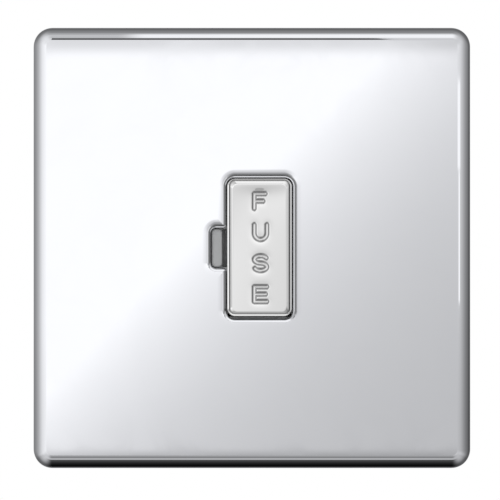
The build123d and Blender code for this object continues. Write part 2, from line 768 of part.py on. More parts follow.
# Four rivets through the mounting frame and the front moulding's flange
with BuildPart() as frame_rivets:
    with BuildSketch(wall_plane(flange_back)):
        with Locations(*rivet_places):
            Circle(rivet_radius)
    extrude(amount=flange_back - frame_front)
    with BuildSketch(wall_plane(frame_front)):
        with Locations(*rivet_places):
            Circle(rivet_head_radius)
    extrude(amount=rivet_head)
    with BuildSketch(wall_plane(flange_back + rivet_head)):
        with Locations(*rivet_places):
            Circle(rivet_tail_radius)
    extrude(amount=rivet_head)
    fillet(frame_rivets.edges().group_by(Axis.Y)[0], rivet_head / 2)
frame_rivets.part.label = "frame_rivets"
export_step(frame_rivets.part, "parts/frame_rivets.step")

# Housing screws: driven from the back through the rear moulding into the front moulding's bosses
for screw_name, place in zip(("housing_screw_left", "housing_screw_right"), housing_places):
    with BuildPart() as housing_screw:
        with BuildSketch(wall_plane(housing_seat)):
            with Locations(place):
                Circle(housing_shank_radius)
        extrude(amount=housing_seat - housing_tip)
        chamfer(housing_screw.edges().group_by(Axis.Y)[0], head_round)
        with BuildSketch(wall_plane(housing_seat + housing_head)):
            with Locations(place):
                Circle(housing_head_radius)
        extrude(amount=housing_head)
        fillet(housing_screw.edges().group_by(Axis.Y)[-1], head_round)
        with BuildSketch(wall_plane(housing_seat + housing_head)):
            with Locations(place):
                Rectangle(recess_length, recess_width)
                Rectangle(recess_width, recess_length)
        extrude(amount=recess_depth, mode=Mode.SUBTRACT)
    housing_screw.part.label = screw_name
    export_step(housing_screw.part, f"parts/{screw_name}.step")

# Fixing screws: pan heads on the frame, necks through its slots and threads that stand out to the wall box
fixing_tip = frame_front + fixing_length
neck_back = frame_back + fixing_neck_proud
for screw_name, place in zip(("fixing_screw_left", "fixing_screw_right"), fixing_places):
    with BuildPart() as fixing_screw:
        with BuildSketch(wall_plane(fixing_tip)):
            with Locations(place):
                Circle(fixing_radius)
        extrude(amount=fixing_tip - neck_back)
        chamfer(fixing_screw.edges().group_by(Axis.Y)[-1], head_round)
        with BuildSketch(wall_plane(neck_back)):
            with Locations(place):
                Circle(fixing_neck_radius)
        extrude(amount=neck_back - frame_front)
        with BuildSketch(wall_plane(frame_front)):
            with Locations(place):
                Circle(fixing_head_radius)
        extrude(amount=fixing_head)
        fillet(fixing_screw.edges().group_by(Axis.Y)[0], fixing_head_round)
        with BuildSketch(wall_plane(frame_front - fixing_head + recess_depth)):
            with Locations(place):
                Rectangle(recess_length, recess_width)
                Rectangle(recess_width, recess_length)
        extrude(amount=recess_depth, mode=Mode.SUBTRACT)
    fixing_screw.part.label = screw_name
    export_step(fixing_screw.part, f"parts/{screw_name}.step")
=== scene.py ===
# %% [markdown]
# A polished fuse plate, dressed in Blender
#
# The object is a wall plate with a pull-out fuse carrier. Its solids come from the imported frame, in
# metres: X runs to the right, Y into the wall and Z up. This lesson photographs the plate head-on in a
# small studio, gives every piece the finish of its real material, and remakes the pieces that need finer
# detail than the solids have. The frame is loaded first, because every piece rides on one of its bodies.

# %% Load the frame
import json
import math

import bmesh
import bpy
import numpy as np
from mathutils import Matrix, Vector


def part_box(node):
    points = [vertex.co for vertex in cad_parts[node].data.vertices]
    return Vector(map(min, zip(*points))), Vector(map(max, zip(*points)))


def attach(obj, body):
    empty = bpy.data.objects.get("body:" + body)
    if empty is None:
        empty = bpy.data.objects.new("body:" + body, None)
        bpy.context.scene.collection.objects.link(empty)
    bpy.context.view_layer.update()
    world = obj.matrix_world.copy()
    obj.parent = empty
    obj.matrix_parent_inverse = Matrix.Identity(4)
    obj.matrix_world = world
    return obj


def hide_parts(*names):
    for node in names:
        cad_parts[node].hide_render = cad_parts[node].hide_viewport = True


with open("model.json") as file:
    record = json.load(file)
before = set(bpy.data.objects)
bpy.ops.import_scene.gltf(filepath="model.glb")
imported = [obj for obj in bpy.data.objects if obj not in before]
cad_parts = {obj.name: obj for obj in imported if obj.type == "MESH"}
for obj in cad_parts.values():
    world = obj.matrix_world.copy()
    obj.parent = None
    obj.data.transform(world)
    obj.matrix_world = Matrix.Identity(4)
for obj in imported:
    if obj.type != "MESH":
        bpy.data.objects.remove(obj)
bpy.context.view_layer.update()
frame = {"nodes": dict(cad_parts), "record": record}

scene = bpy.context.scene
scene.view_settings.view_transform = "Standard"
MM = 0.001

# %% [markdown]
# The camera stands straight in front of the plate, as in the photograph, where no side of the plate shows.
# A wide lens close by would show the inside of the aperture, so a long lens at 0.8 m is used. The frame is
# a little wider than the plate, and the camera is shifted by the half millimetre by which the plate is off
# the middle of the picture.

# %% Camera
CAMERA_DISTANCE = 0.8
VIEW_WIDTH = 108.35 * MM
CAMERA_X = -0.41 * MM
CAMERA_Z = -0.44 * MM
SENSOR_WIDTH = 36.0

plate_low, plate_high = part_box("front_plate")
camera_lens = bpy.data.cameras.new("camera")
camera_lens.sensor_width = SENSOR_WIDTH
camera_lens.lens = SENSOR_WIDTH * CAMERA_DISTANCE / VIEW_WIDTH
camera = bpy.data.objects.new("camera", camera_lens)
camera.location = (CAMERA_X, plate_low.y - CAMERA_DISTANCE, CAMERA_Z)
camera.rotation_euler = (math.pi / 2, 0, 0)
scene.collection.objects.link(camera)
scene.camera = camera
print("lens in mm", round(camera_lens.lens, 1))

# %% [markdown]
# Every finish and the studio itself are node trees. Five small helpers keep them short: one places a node
# and fills its inputs, one places a calculation, one eases a value from 0 to 1 over a range, one mixes two
# numbers, and one dims a brightness. An input that is given as another node's output is linked, and
# anything else is its value.

# %% Node helpers
def add(tree, kind, inputs=None, **settings):
    """Places a shader node, sets its settings, and links or sets its inputs."""
    node = tree.nodes.new("ShaderNode" + kind)
    for name, value in settings.items():
        setattr(node, name, value)
    for name, value in (inputs or {}).items():
        if isinstance(value, bpy.types.NodeSocket):
            tree.links.new(value, node.inputs[name])
        else:
            node.inputs[name].default_value = value
    return node


def calc(tree, operation, first, second=0.0, clamp=False):
    """Places a calculation with one or two numbers and returns its result."""
    node = add(tree, "Math", {0: first, 1: second}, operation=operation, use_clamp=clamp)
    return node.outputs[0]


def ease(tree, value, start, end):
    """Rises smoothly from 0 at start to 1 at end; start may be the larger of the two."""
    node = add(
        tree,
        "MapRange",
        {"Value": value, "From Min": start, "From Max": end},
        interpolation_type="SMOOTHSTEP",
    )
    return node.outputs["Result"]


def blend_values(tree, share, first, second):
    """Mixes two numbers by a share."""
    return add(tree, "Mix", {"Factor": share, 2: first, 3: second}).outputs[0]


def dim(tree, value, share, shade):
    """Takes a shade off a brightness where the share is 1."""
    kept = calc(tree, "SUBTRACT", 1.0, calc(tree, "MULTIPLY", share, shade))
    return calc(tree, "MULTIPLY", value, kept)


print("helpers: add, calc, ease, blend_values, dim")

# %% [markdown]
# Polished chrome has no colour of its own: what is seen is the room that it reflects. The flat plate
# mirrors the wall behind the camera, which is bright at the upper left and falls off to grey at the lower
# right. The rolled edges sweep through the rest of the room within a few pixels: a soft wall at the left,
# an overhead softbox with a dark gap under it, lamp strips at the right, and dark cloth below. Real cards
# and lamps could be set up, but a world that is painted by direction gives the same reflections with less
# noise. Each side is a brightness profile over the angle from straight out of the plate, and the four are
# weighted by how far the direction leans to that side. Half-way between two sides, where the rounded
# corners of the plate look, they give way to a softer light with a profile of its own.

# %% Studio world: the direction that is looked along
LEAST_DEPTH = 0.02

world = bpy.data.worlds.new("studio")
world.use_nodes = True
scene.world = world
sky = world.node_tree
sky.nodes.clear()

direction = add(sky, "SeparateXYZ", {0: add(sky, "TexCoord").outputs["Generated"]}).outputs
to_room = calc(sky, "MULTIPLY", direction["Y"], -1.0)
angle = calc(sky, "DEGREES", calc(sky, "ARCCOSINE", to_room))
room_depth = calc(sky, "MAXIMUM", to_room, LEAST_DEPTH)
across = calc(sky, "DIVIDE", direction["X"], room_depth)
upward = calc(sky, "DIVIDE", direction["Z"], room_depth)
print("nodes for the direction", len(sky.nodes))

# %% Studio world: the wall behind the camera
WALL_HALF = 0.0594
WALL_GREY = 0.51
WALL_GLOW = 0.375
WALL_FALL = -1.4
WALL_BRIGHTEST = 1.06
WALL_SHADES = ((0.0520, 0.0560, 0.28), (-0.0536, -0.0562, 0.36))

slope = calc(sky, "DIVIDE", calc(sky, "SUBTRACT", across, upward), WALL_HALF)
glow = calc(sky, "EXPONENT", calc(sky, "MULTIPLY", slope, WALL_FALL))
wall = calc(sky, "ADD", WALL_GREY, calc(sky, "MULTIPLY", glow, WALL_GLOW))
wall = calc(sky, "MINIMUM", wall, WALL_BRIGHTEST)
for start, end, shade in WALL_SHADES:
    wall = dim(sky, wall, ease(sky, upward, start, end), shade)
print("wall brightness from", WALL_BRIGHTEST, "down to", WALL_GREY)

# %% [markdown]
# The four sides of the room show in the rolled edges, the lip of the opening and the rim of the fuse
# carrier. One colour ramp for each side holds its brightness over the angle. Gradient textures could be
# stacked for this, but a ramp keeps a whole side in one list. The left and the right side also get dimmer
# towards the floor.

# %% Studio world: the four sides, as brightness over degrees from straight out
WALL_EDGE = (0.0555, 0.060)
BACKDROP = [(150, 0.2), (162, 1.0)]
SIDE_PROFILES = {
    "left": [
        (4, 1.02), (10, 1.0), (18.5, 0.962), (27, 0.91), (36, 0.867), (54.5, 0.671), (74.8, 0.468),
        (98.7, 0.339), (113, 0.292), (131, 0.262),
    ],
    "right": [
        (3.4, 0.72), (12, 0.70), (20, 0.67), (29, 0.63), (38, 0.567), (47, 0.498), (56.6, 0.422),
        (66.6, 0.354), (77, 0.292), (88.8, 0.245), (101.7, 0.20), (117, 0.111), (137, 0.12),
    ],
    "top": [
        (3.4, 0.70), (8, 0.65), (12, 0.617), (20, 0.645), (25, 0.75), (29, 0.95), (47, 0.96),
        (53, 0.93), (61.7, 0.60), (66.8, 0.43), (72, 0.28), (77.5, 0.258), (89, 0.23),
        (102, 0.186), (117, 0.124), (137, 0.17),
    ],
    "bottom": [
        (3.4, 0.42), (5.5, 0.39), (12.5, 0.32), (18, 0.25), (25.2, 0.19), (26.2, 0.46), (42, 0.44),
        (43.2, 0.05), (57, 0.053), (67, 0.027), (78, 0.0154), (90, 0.008), (103, 0.0036),
        (118, 0.001),
    ],
}
SIDE_FADES = {"left": (-0.045, -0.02, 0.91, 1.0), "right": (-0.045, 0.055, 0.73, 1.10)}
LEANS = {"left": ("X", -1.0), "right": ("X", 1.0), "top": ("Z", 1.0), "bottom": ("Z", -1.0)}
HALF_TURN = 180.0
LEAST_BEYOND = 1e-5


def profile(tree, degrees, stops):
    """Brightness along a list of (degrees, brightness) stops."""
    ramp = add(tree, "ValToRGB", {"Fac": calc(tree, "DIVIDE", degrees, HALF_TURN)})
    elements = ramp.color_ramp.elements
    elements.remove(elements[-1])
    elements[0].position = 0.0
    elements[0].color = (stops[0][1], stops[0][1], stops[0][1], 1.0)
    for place, brightness in stops:
        elements.new(place / HALF_TURN).color = (brightness, brightness, brightness, 1.0)
    return ramp.outputs["Color"]


beyond = {}
for axis in "XZ":
    outside = calc(sky, "SUBTRACT", calc(sky, "ABSOLUTE", direction[axis]), WALL_EDGE[0])
    beyond[axis] = calc(sky, "POWER", calc(sky, "MAXIMUM", outside, LEAST_BEYOND), 2.0)
everything = calc(sky, "ADD", beyond["X"], beyond["Z"])
shares = {axis: calc(sky, "DIVIDE", beyond[axis], everything) for axis in "XZ"}

sides = 0.0
for side, stops in SIDE_PROFILES.items():
    axis, sign = LEANS[side]
    facing = calc(sky, "GREATER_THAN", calc(sky, "MULTIPLY", direction[axis], sign), 0.0)
    lit = calc(sky, "MULTIPLY", profile(sky, angle, stops + BACKDROP), facing)
    if side in SIDE_FADES:
        low_z, high_z, low_share, high_share = SIDE_FADES[side]
        fade = add(sky, "MapRange", {
            "Value": direction["Z"], "From Min": low_z, "From Max": high_z,
            "To Min": low_share, "To Max": high_share,
        })
        lit = calc(sky, "MULTIPLY", lit, fade.outputs["Result"])
    sides = calc(sky, "ADD", sides, calc(sky, "MULTIPLY", shares[axis], lit))
print("profiles", sorted(SIDE_PROFILES))

# %% [markdown]
# Some things in the room have ends of their own: a dark bar above the camera with a pale rim under it, the
# softbox, which is dimmer towards its left end, and two lamp strips at the right. Cards and lamps would
# need many samples to show as clean lines in a polished edge. Here each is a window of directions with
# soft borders.

# %% Studio world: the dark bar, the softbox end and the lamp strips
BAR_UPWARD = (0.125, 0.145, 0.42, 0.47)
BAR_ACROSS = (-0.075, -0.060, 0.037, 0.0385)
BAR_SHADE = 0.80
BAR_RIM_UPWARD = (0.056, 0.060, 0.125, 0.145)
BAR_RIM_GLOW = 0.3
SOFTBOX_UPWARD = (0.42, 0.47, 1.9, 2.3)
SOFTBOX_END = (-0.028, -0.036)
SOFTBOX_END_SHADE = 0.42
STRIPS = (
    ((0.055, 0.075, 0.47, 0.66), (0.0195, 0.0225, 0.0455, 0.048)),
    ((0.15, 0.24, 0.43, 0.56), (-0.016, -0.0135, 0.0205, 0.0235)),
)


def window(tree, value, stops):
    """A share that eases in between the first two stops and out between the last two."""
    rise_start, rise_end, fall_start, fall_end = stops
    risen = ease(tree, value, rise_start, rise_end)
    return calc(tree, "MULTIPLY", risen, ease(tree, value, fall_end, fall_start))


bar_length = window(sky, across, BAR_ACROSS)
bar = calc(sky, "MULTIPLY", window(sky, upward, BAR_UPWARD), bar_length)
bar_rim = calc(sky, "MULTIPLY", window(sky, upward, BAR_RIM_UPWARD), bar_length)
softbox_end = ease(sky, direction["X"], *SOFTBOX_END)
softbox_end = calc(sky, "MULTIPLY", softbox_end, window(sky, upward, SOFTBOX_UPWARD))
softbox_end = calc(sky, "MULTIPLY", softbox_end, shares["Z"])
sides = dim(sky, sides, bar, BAR_SHADE)
sides = dim(sky, sides, bar_rim, -BAR_RIM_GLOW)
sides = dim(sky, sides, softbox_end, SOFTBOX_END_SHADE)
for strip_across, strip_height in STRIPS:
    strip = window(sky, across, strip_across)
    strip = calc(sky, "MULTIPLY", strip, window(sky, direction["Z"], strip_height))
    sides = calc(sky, "MAXIMUM", sides, strip)
print("lamp strips", len(STRIPS))

# %% [markdown]
# A rounded corner of the plate looks between two sides at once. A plain blend of the two would make a
# cross of light and dark there, so the diagonals get a light of their own, which is brighter towards the
# upper left. The product of the two shares is at most a quarter, so it is scaled up to 1.

# %% Studio world: the light between two sides
CORNER_STOPS = [
    (4, 1.0), (20, 1.0), (40, 0.99), (50, 0.93), (60, 0.86), (80, 0.6), (100, 0.28), (120, 0.2),
]
CORNER_GREY = 0.715
CORNER_TILT = {"X": -0.08, "Z": -0.065}
CORNER_PEAK = 4.0
GLIDE_LEAN = 0.5
GLIDE_RANGE = (-0.15, 0.10)
GLIDE_LEVELS = (0.72, 1.12)

diagonal = calc(sky, "MULTIPLY", calc(sky, "MULTIPLY", shares["X"], shares["Z"]), CORNER_PEAK)
corner_level = CORNER_GREY
for axis, tilt in CORNER_TILT.items():
    leaning = calc(sky, "MULTIPLY", calc(sky, "SIGN", direction[axis]), tilt)
    corner_level = calc(sky, "ADD", corner_level, leaning)
glide = calc(sky, "MULTIPLY", calc(sky, "ABSOLUTE", direction["X"]), GLIDE_LEAN)
glide = ease(sky, calc(sky, "ADD", direction["Z"], glide), *GLIDE_RANGE)
corner_level = calc(sky, "MULTIPLY", corner_level, blend_values(sky, glide, *GLIDE_LEVELS))
corner = calc(sky, "MULTIPLY", profile(sky, angle, CORNER_STOPS + BACKDROP), corner_level)
sides = blend_values(sky, diagonal, sides, corner)
print("corner light", CORNER_GREY)

# %% [markdown]
# The wall fills the middle of what the plate sees, and the sides go round it. Only mirrors need all this.
# Light Path gives dull surfaces one even level, so that their colours come out as they are written, and it
# gives the camera a white background.

# %% Studio world: all of it together
AMBIENT = 0.55

off_middle = calc(sky, "MAXIMUM", calc(sky, "ABSOLUTE", across), calc(sky, "ABSOLUTE", upward))
off_middle = calc(sky, "MAXIMUM", off_middle, calc(sky, "LESS_THAN", to_room, 0.0))
reflected = blend_values(sky, ease(sky, off_middle, *WALL_EDGE), wall, sides)

light_path = add(sky, "LightPath").outputs
mirrored = calc(sky, "MAXIMUM", light_path["Is Glossy Ray"], light_path["Is Transmission Ray"])
brightness = blend_values(sky, mirrored, AMBIENT, reflected)
brightness = blend_values(sky, light_path["Is Camera Ray"], brightness, 1.0)
background = add(sky, "Background", {"Color": brightness})
add(sky, "OutputWorld", {"Surface": background.outputs[0]})
print("studio nodes", len(sky.nodes))

# %% [markdown]
# The floor is a pale sheet a little below the plate. It is lit by the lamps and shows the soft shadow; a
# small glow for camera rays lifts the lit part to white, so that no line shows where the sheet ends.
# Mirrors see the dark cloth of the studio world below them in place of the floor. A backdrop could stand
# behind the object too, but it would show in the back views.

# %% Floor
FLOOR_Z = -85 * MM
FLOOR_HALF_WIDTH = 1.2
FLOOR_FRONT = -1.4
FLOOR_REAR = 0.40
FLOOR_COLOUR = (0.86, 0.86, 0.86, 1.0)
FLOOR_GLOW = 0.25


def mesh_object(name, vertices, faces):
    """Makes a mesh object from points and faces, and links it to the scene."""
    mesh = bpy.data.meshes.new(name)
    mesh.from_pydata(vertices, [], faces)
    made = bpy.data.objects.new(name, mesh)
    scene.collection.objects.link(made)
    return made


floor_corners = [
    (x, y, FLOOR_Z)
    for x, y in (
        (-FLOOR_HALF_WIDTH, FLOOR_FRONT),
        (FLOOR_HALF_WIDTH, FLOOR_FRONT),
        (FLOOR_HALF_WIDTH, FLOOR_REAR),
        (-FLOOR_HALF_WIDTH, FLOOR_REAR),
    )
]
floor = mesh_object("floor", floor_corners, [(0, 1, 2, 3)])
floor.visible_glossy = False

floor_finish = bpy.data.materials.new("pale_floor")
floor_finish.use_nodes = True
floor_tree = floor_finish.node_tree
floor_tree.nodes.clear()
paper = add(floor_tree, "BsdfDiffuse", {"Color": FLOOR_COLOUR})
seen = add(floor_tree, "LightPath").outputs["Is Camera Ray"]
lift = add(floor_tree, "Emission", {"Strength": calc(floor_tree, "MULTIPLY", seen, FLOOR_GLOW)})
both = add(floor_tree, "AddShader", {0: paper.outputs[0], 1: lift.outputs[0]})
add(floor_tree, "OutputMaterial", {"Surface": both.outputs[0]})
floor.data.materials.append(floor_finish)
print("floor at mm", round(FLOOR_Z / MM, 1))

# %% [markdown]
# Four soft lamps light the mouldings and the dull metals: one high at the left, one at the right, and two
# behind for the back views. A sun lamp would cast a hard shadow, so they are square area lamps. Mirrors
# don't see them, because the studio world already holds the lights that show in the chrome.

# %% Lamps
LAMPS = {
    "key_lamp": ((-0.55, -0.75, 0.75), 0.6, 7.0),
    "fill_lamp": ((0.8, -0.6, 0.25), 0.6, 2.5),
    "rear_left_lamp": ((-0.6, 0.75, 0.55), 0.6, 2.6),
    "rear_right_lamp": ((0.7, 0.65, 0.3), 0.6, 2.0),
}

for name, (place, side, watts) in LAMPS.items():
    lamp_light = bpy.data.lights.new(name, "AREA")
    lamp_light.size = side
    lamp_light.energy = watts
    lamp = bpy.data.objects.new(name, lamp_light)
    lamp.location = place
    lamp.rotation_euler = (-Vector(place)).to_track_quat("-Z", "Y").to_euler()
    lamp.visible_glossy = False
    scene.collection.objects.link(lamp)
print("lamps", sorted(LAMPS))

# %% [markdown]
# Four surface effects are shared by several finishes, so each is built once as a node group. Moulded grain
# is the fine spark texture that a mould leaves on plastic. Drawn lines are the streaks of rolled or drawn
# metal. Handling haze is the uneven dullness of touched metal. Soft edges rounds the light over sharp
# corners, and gives a mask of those corners, where tarnish wears off.

# %% Node group helpers
def new_group(name, inputs, outputs):
    """Starts a node group with number inputs and the given outputs."""
    group = bpy.data.node_groups.new(name, "ShaderNodeTree")
    for label, value in inputs.items():
        socket = group.interface.new_socket(label, in_out="INPUT", socket_type="NodeSocketFloat")
        socket.default_value = value
    for label, kind in outputs.items():
        group.interface.new_socket(label, in_out="OUTPUT", socket_type="NodeSocket" + kind)
    start = group.nodes.new("NodeGroupInput").outputs
    end = group.nodes.new("NodeGroupOutput").inputs
    return group, start, end


def place_group(tree, group, **values):
    """Puts a node group into a material and returns its outputs."""
    node = tree.nodes.new("ShaderNodeGroup")
    node.node_tree = group
    for label, value in values.items():
        node.inputs[label].default_value = value
    return node.outputs


print("group helpers: new_group, place_group")

# %% Node groups: moulded grain and drawn lines
PIT_DETAIL = 3.0
CLOUD_SCALE = 180.0
CLOUD_DETAIL = 2.0
STREAK_DETAIL = 4.0

moulded_grain, start, end = new_group(
    "moulded_grain", {"Scale": 5000.0}, {"Height": "Float", "Mottle": "Float"}
)
point = add(moulded_grain, "TexCoord").outputs["Object"]
pits = add(moulded_grain, "TexNoise", {"Vector": point, "Scale": start["Scale"], "Detail": PIT_DETAIL})
cloud = add(moulded_grain, "TexNoise", {"Vector": point, "Scale": CLOUD_SCALE, "Detail": CLOUD_DETAIL})
moulded_grain.links.new(pits.outputs["Fac"], end["Height"])
moulded_grain.links.new(cloud.outputs["Fac"], end["Mottle"])

drawn_lines, start, end = new_group(
    "drawn_lines", {"Across": 4000.0, "Along": 60.0}, {"Lines": "Float"}
)
point = add(drawn_lines, "TexCoord").outputs["Object"]
stretch = add(drawn_lines, "CombineXYZ", {"X": start["Across"], "Y": start["Across"], "Z": start["Along"]})
stretched = add(drawn_lines, "VectorMath", {0: point, 1: stretch.outputs[0]}, operation="MULTIPLY")
streaks = add(
    drawn_lines,
    "TexNoise",
    {"Vector": stretched.outputs[0], "Scale": 1.0, "Detail": STREAK_DETAIL},
)
drawn_lines.links.new(streaks.outputs["Fac"], end["Lines"])
print("groups", [group.name for group in bpy.data.node_groups])

# %% Node groups: handling haze and soft edges
SMEAR_DETAIL = 6.0
SMEAR_TWIST = 0.8
HAZE_RANGE = (0.35, 0.75)
EDGE_SAMPLES = 6
EDGE_RANGE = (0.995, 0.80)

handling_haze, start, end = new_group("handling_haze", {"Scale": 120.0}, {"Haze": "Float"})
point = add(handling_haze, "TexCoord").outputs["Object"]
smears = add(
    handling_haze,
    "TexNoise",
    {"Vector": point, "Scale": start["Scale"], "Detail": SMEAR_DETAIL, "Distortion": SMEAR_TWIST},
)
handling_haze.links.new(ease(handling_haze, smears.outputs["Fac"], *HAZE_RANGE), end["Haze"])

soft_edges, start, end = new_group("soft_edges", {"Radius": 0.00015}, {"Normal": "Vector", "Edge": "Float"})
rounded = add(soft_edges, "Bevel", {"Radius": start["Radius"]}, samples=EDGE_SAMPLES)
facing = add(soft_edges, "NewGeometry").outputs["Normal"]
agree = add(soft_edges, "VectorMath", {0: rounded.outputs[0], 1: facing}, operation="DOT_PRODUCT")
soft_edges.links.new(rounded.outputs[0], end["Normal"])
soft_edges.links.new(ease(soft_edges, agree.outputs["Value"], *EDGE_RANGE), end["Edge"])
print("groups", [group.name for group in bpy.data.node_groups])

# %% [markdown]
# The finishes come next, one for each material of the record. A finish starts as a Principled shader with
# its plain values set on the shader's own sockets; only what varies over the surface is linked.

# %% Finish helpers
finishes = {}


def new_finish(name, **plain):
    """Starts a finish and returns its node tree and shader; plain values go straight on the sockets."""
    material = bpy.data.materials.new(name)
    material.use_nodes = True
    tree = material.node_tree
    tree.nodes.clear()
    shader = add(tree, "BsdfPrincipled")
    add(tree, "OutputMaterial", {"Surface": shader.outputs[0]})
    for label, value in plain.items():
        shader.inputs[label.replace("_", " ")].default_value = value
    finishes[name] = material
    return tree, shader.inputs


def tint(tree, share, first, second):
    """A colour that goes from first to second by a share."""
    ends = [(*end, 1.0) if isinstance(end, tuple) else end for end in (first, second)]
    return add(tree, "Mix", {"Factor": share, 6: ends[0], 7: ends[1]}, data_type="RGBA").outputs[2]


def bump(tree, height, distance, normal):
    """Adds a height to a surface normal; distance is the relief in metres."""
    inputs = {"Height": height, "Distance": distance, "Normal": normal}
    return add(tree, "Bump", inputs).outputs["Normal"]


def mask(tree, label):
    """Reads a mask that a mesh keeps for each of its points."""
    return add(tree, "Attribute", attribute_name=label).outputs["Fac"]


print("finish helpers: new_finish, tint, bump, mask")

# %% [markdown]
# Polished chrome is a thin, slightly blue plating. On the fuse carrier it lies over plastic, and is a more
# neutral grey. A single metal colour would be too even, so a haze of handling varies its gloss. Two masks
# paint shade into the plating: one gives the turned edge of the opening a duller gloss and a dark painted
# shade, and the other is a painted shade in the groove and strokes of the cap. An edge mask could find
# these places, but the meshes below are made loop by loop, so they keep both masks for each point, just
# where they belong.

# %% Finishes: polished chrome
# Two masks: a duller gloss with a painted shade on the opening's turned edge, and a painted shade in the
# cap's hollows.
SATIN_SHADE_MASK = "satin"
SHADE_MASK = "painted_shade"
NEUTRAL = "neutral"
CHROME_HAZE = 90.0
CHROME_CLEAN = (0.928, 0.938, 0.975)
CHROME_HAZED = (0.918, 0.928, 0.966)
CHROME_ON_MOULDING = (0.936, 0.935, 0.936)
# The next two colours are painted shade, for the opening's turned edge and for the cap's hollows.
CHROME_SATIN_SHADE = (0.30, 0.303, 0.31)
CHROME_SHADED = (0.16, 0.16, 0.165)
CHROME_ROUGHNESS = (0.015, 0.035)
SATIN_ROUGHNESS = 0.3
SHADED_ROUGHNESS = 0.4

tree, shader = new_finish("polished_chrome", Metallic=1.0)
haze = place_group(tree, handling_haze, Scale=CHROME_HAZE)["Haze"]
# Both masks darken the plating with a painted shade, and make it rougher.
satin_shaded = mask(tree, SATIN_SHADE_MASK)
shaded = mask(tree, SHADE_MASK)
plating = tint(tree, haze, CHROME_CLEAN, CHROME_HAZED)
plating = tint(tree, mask(tree, NEUTRAL), plating, CHROME_ON_MOULDING)
plating = tint(tree, satin_shaded, plating, CHROME_SATIN_SHADE)
tree.links.new(tint(tree, shaded, plating, CHROME_SHADED), shader["Base Color"])
roughness = blend_values(tree, haze, *CHROME_ROUGHNESS)
roughness = blend_values(tree, satin_shaded, roughness, SATIN_ROUGHNESS)
tree.links.new(blend_values(tree, shaded, roughness, SHADED_ROUGHNESS), shader["Roughness"])
print("finishes", sorted(finishes))

# %% [markdown]
# The screws and the rivets of the frame are steel with a warm plating, the caps of the fuse are nickel
# over brass, and the mounting frame is zinc-plated sheet. All three are bright metals that differ in tint
# and haze, so they are built alike. The sheet also has the lines of rolling in it: they vary its gloss and
# give it a fine relief.

# %% Finishes: screws, fuse caps and zinc plate
METAL_EDGE = 0.0001
STEEL_HAZE = 300.0
STEEL_COLOURS = ((0.70, 0.69, 0.64), (0.60, 0.62, 0.66))
# A painted shade for the floor of a screw's recess, which also makes it rougher.
STEEL_SHADED = (0.10, 0.095, 0.085)
STEEL_ROUGHNESS = (0.22, 0.38)
STEEL_SHADED_ROUGHNESS = 0.7
FUSE_CAP_HAZE = 400.0
FUSE_CAP_COLOURS = ((0.74, 0.72, 0.67), (0.63, 0.61, 0.57))
FUSE_CAP_ROUGHNESS = (0.12, 0.26)
ZINC_HAZE = 150.0
ZINC_LINES = {"Across": 3000.0, "Along": 40.0}
ZINC_COLOURS = ((0.66, 0.67, 0.68), (0.56, 0.58, 0.61))
ZINC_ROUGHNESS = (0.26, 0.46)
LINE_RELIEF = 0.000004

tree, shader = new_finish("plated_steel", Metallic=1.0)
haze = place_group(tree, handling_haze, Scale=STEEL_HAZE)["Haze"]
edges = place_group(tree, soft_edges, Radius=METAL_EDGE)
# The floor of a screw's recess is darkened by a painted shade.
shaded = mask(tree, SHADE_MASK)
plating = tint(tree, haze, *STEEL_COLOURS)
tree.links.new(tint(tree, shaded, plating, STEEL_SHADED), shader["Base Color"])
roughness = blend_values(tree, haze, *STEEL_ROUGHNESS)
tree.links.new(blend_values(tree, shaded, roughness, STEEL_SHADED_ROUGHNESS), shader["Roughness"])
tree.links.new(edges["Normal"], shader["Normal"])

tree, shader = new_finish("fuse_cap_metal", Metallic=1.0)
haze = place_group(tree, handling_haze, Scale=FUSE_CAP_HAZE)["Haze"]
tree.links.new(tint(tree, haze, *FUSE_CAP_COLOURS), shader["Base Color"])
tree.links.new(blend_values(tree, haze, *FUSE_CAP_ROUGHNESS), shader["Roughness"])

tree, shader = new_finish("zinc_steel", Metallic=1.0)
haze = place_group(tree, handling_haze, Scale=ZINC_HAZE)["Haze"]
lines = place_group(tree, drawn_lines, **ZINC_LINES)["Lines"]
edges = place_group(tree, soft_edges, Radius=METAL_EDGE)
tree.links.new(tint(tree, haze, *ZINC_COLOURS), shader["Base Color"])
tree.links.new(blend_values(tree, lines, *ZINC_ROUGHNESS), shader["Roughness"])
tree.links.new(bump(tree, lines, LINE_RELIEF, edges["Normal"]), shader["Normal"])
print("finishes", sorted(finishes))

# %% [markdown]
# The terminals, links and fuse clips are brass, and the leaf that earths the plate is bronze. Bare copper
# alloys tarnish to brown, but stay bright on their edges. Painted masks would need unwrapped meshes, so
# the tarnish is the haze, less the edges that the soft edges group finds.

# %% Finishes: brass and bronze
ALLOY_COLOURS = {
    "brass": ((0.78, 0.57, 0.25), (0.56, 0.38, 0.16)),
    "spring_bronze": ((0.70, 0.46, 0.28), (0.48, 0.29, 0.18)),
}
ALLOY_HAZE = 220.0
ALLOY_LINES = {"Across": 5000.0, "Along": 90.0}
ALLOY_EDGE = 0.00012
ALLOY_ROUGHNESS = (0.20, 0.42)

for name, (clean, tarnished) in ALLOY_COLOURS.items():
    tree, shader = new_finish(name, Metallic=1.0)
    haze = place_group(tree, handling_haze, Scale=ALLOY_HAZE)["Haze"]
    lines = place_group(tree, drawn_lines, **ALLOY_LINES)["Lines"]
    edges = place_group(tree, soft_edges, Radius=ALLOY_EDGE)
    tarnish = calc(tree, "MULTIPLY", haze, calc(tree, "SUBTRACT", 1.0, edges["Edge"]))
    tree.links.new(tint(tree, tarnish, clean, tarnished), shader["Base Color"])
    tree.links.new(blend_values(tree, lines, *ALLOY_ROUGHNESS), shader["Roughness"])
    tree.links.new(bump(tree, lines, LINE_RELIEF, edges["Normal"]), shader["Normal"])
print("copper alloys", sorted(ALLOY_COLOURS))

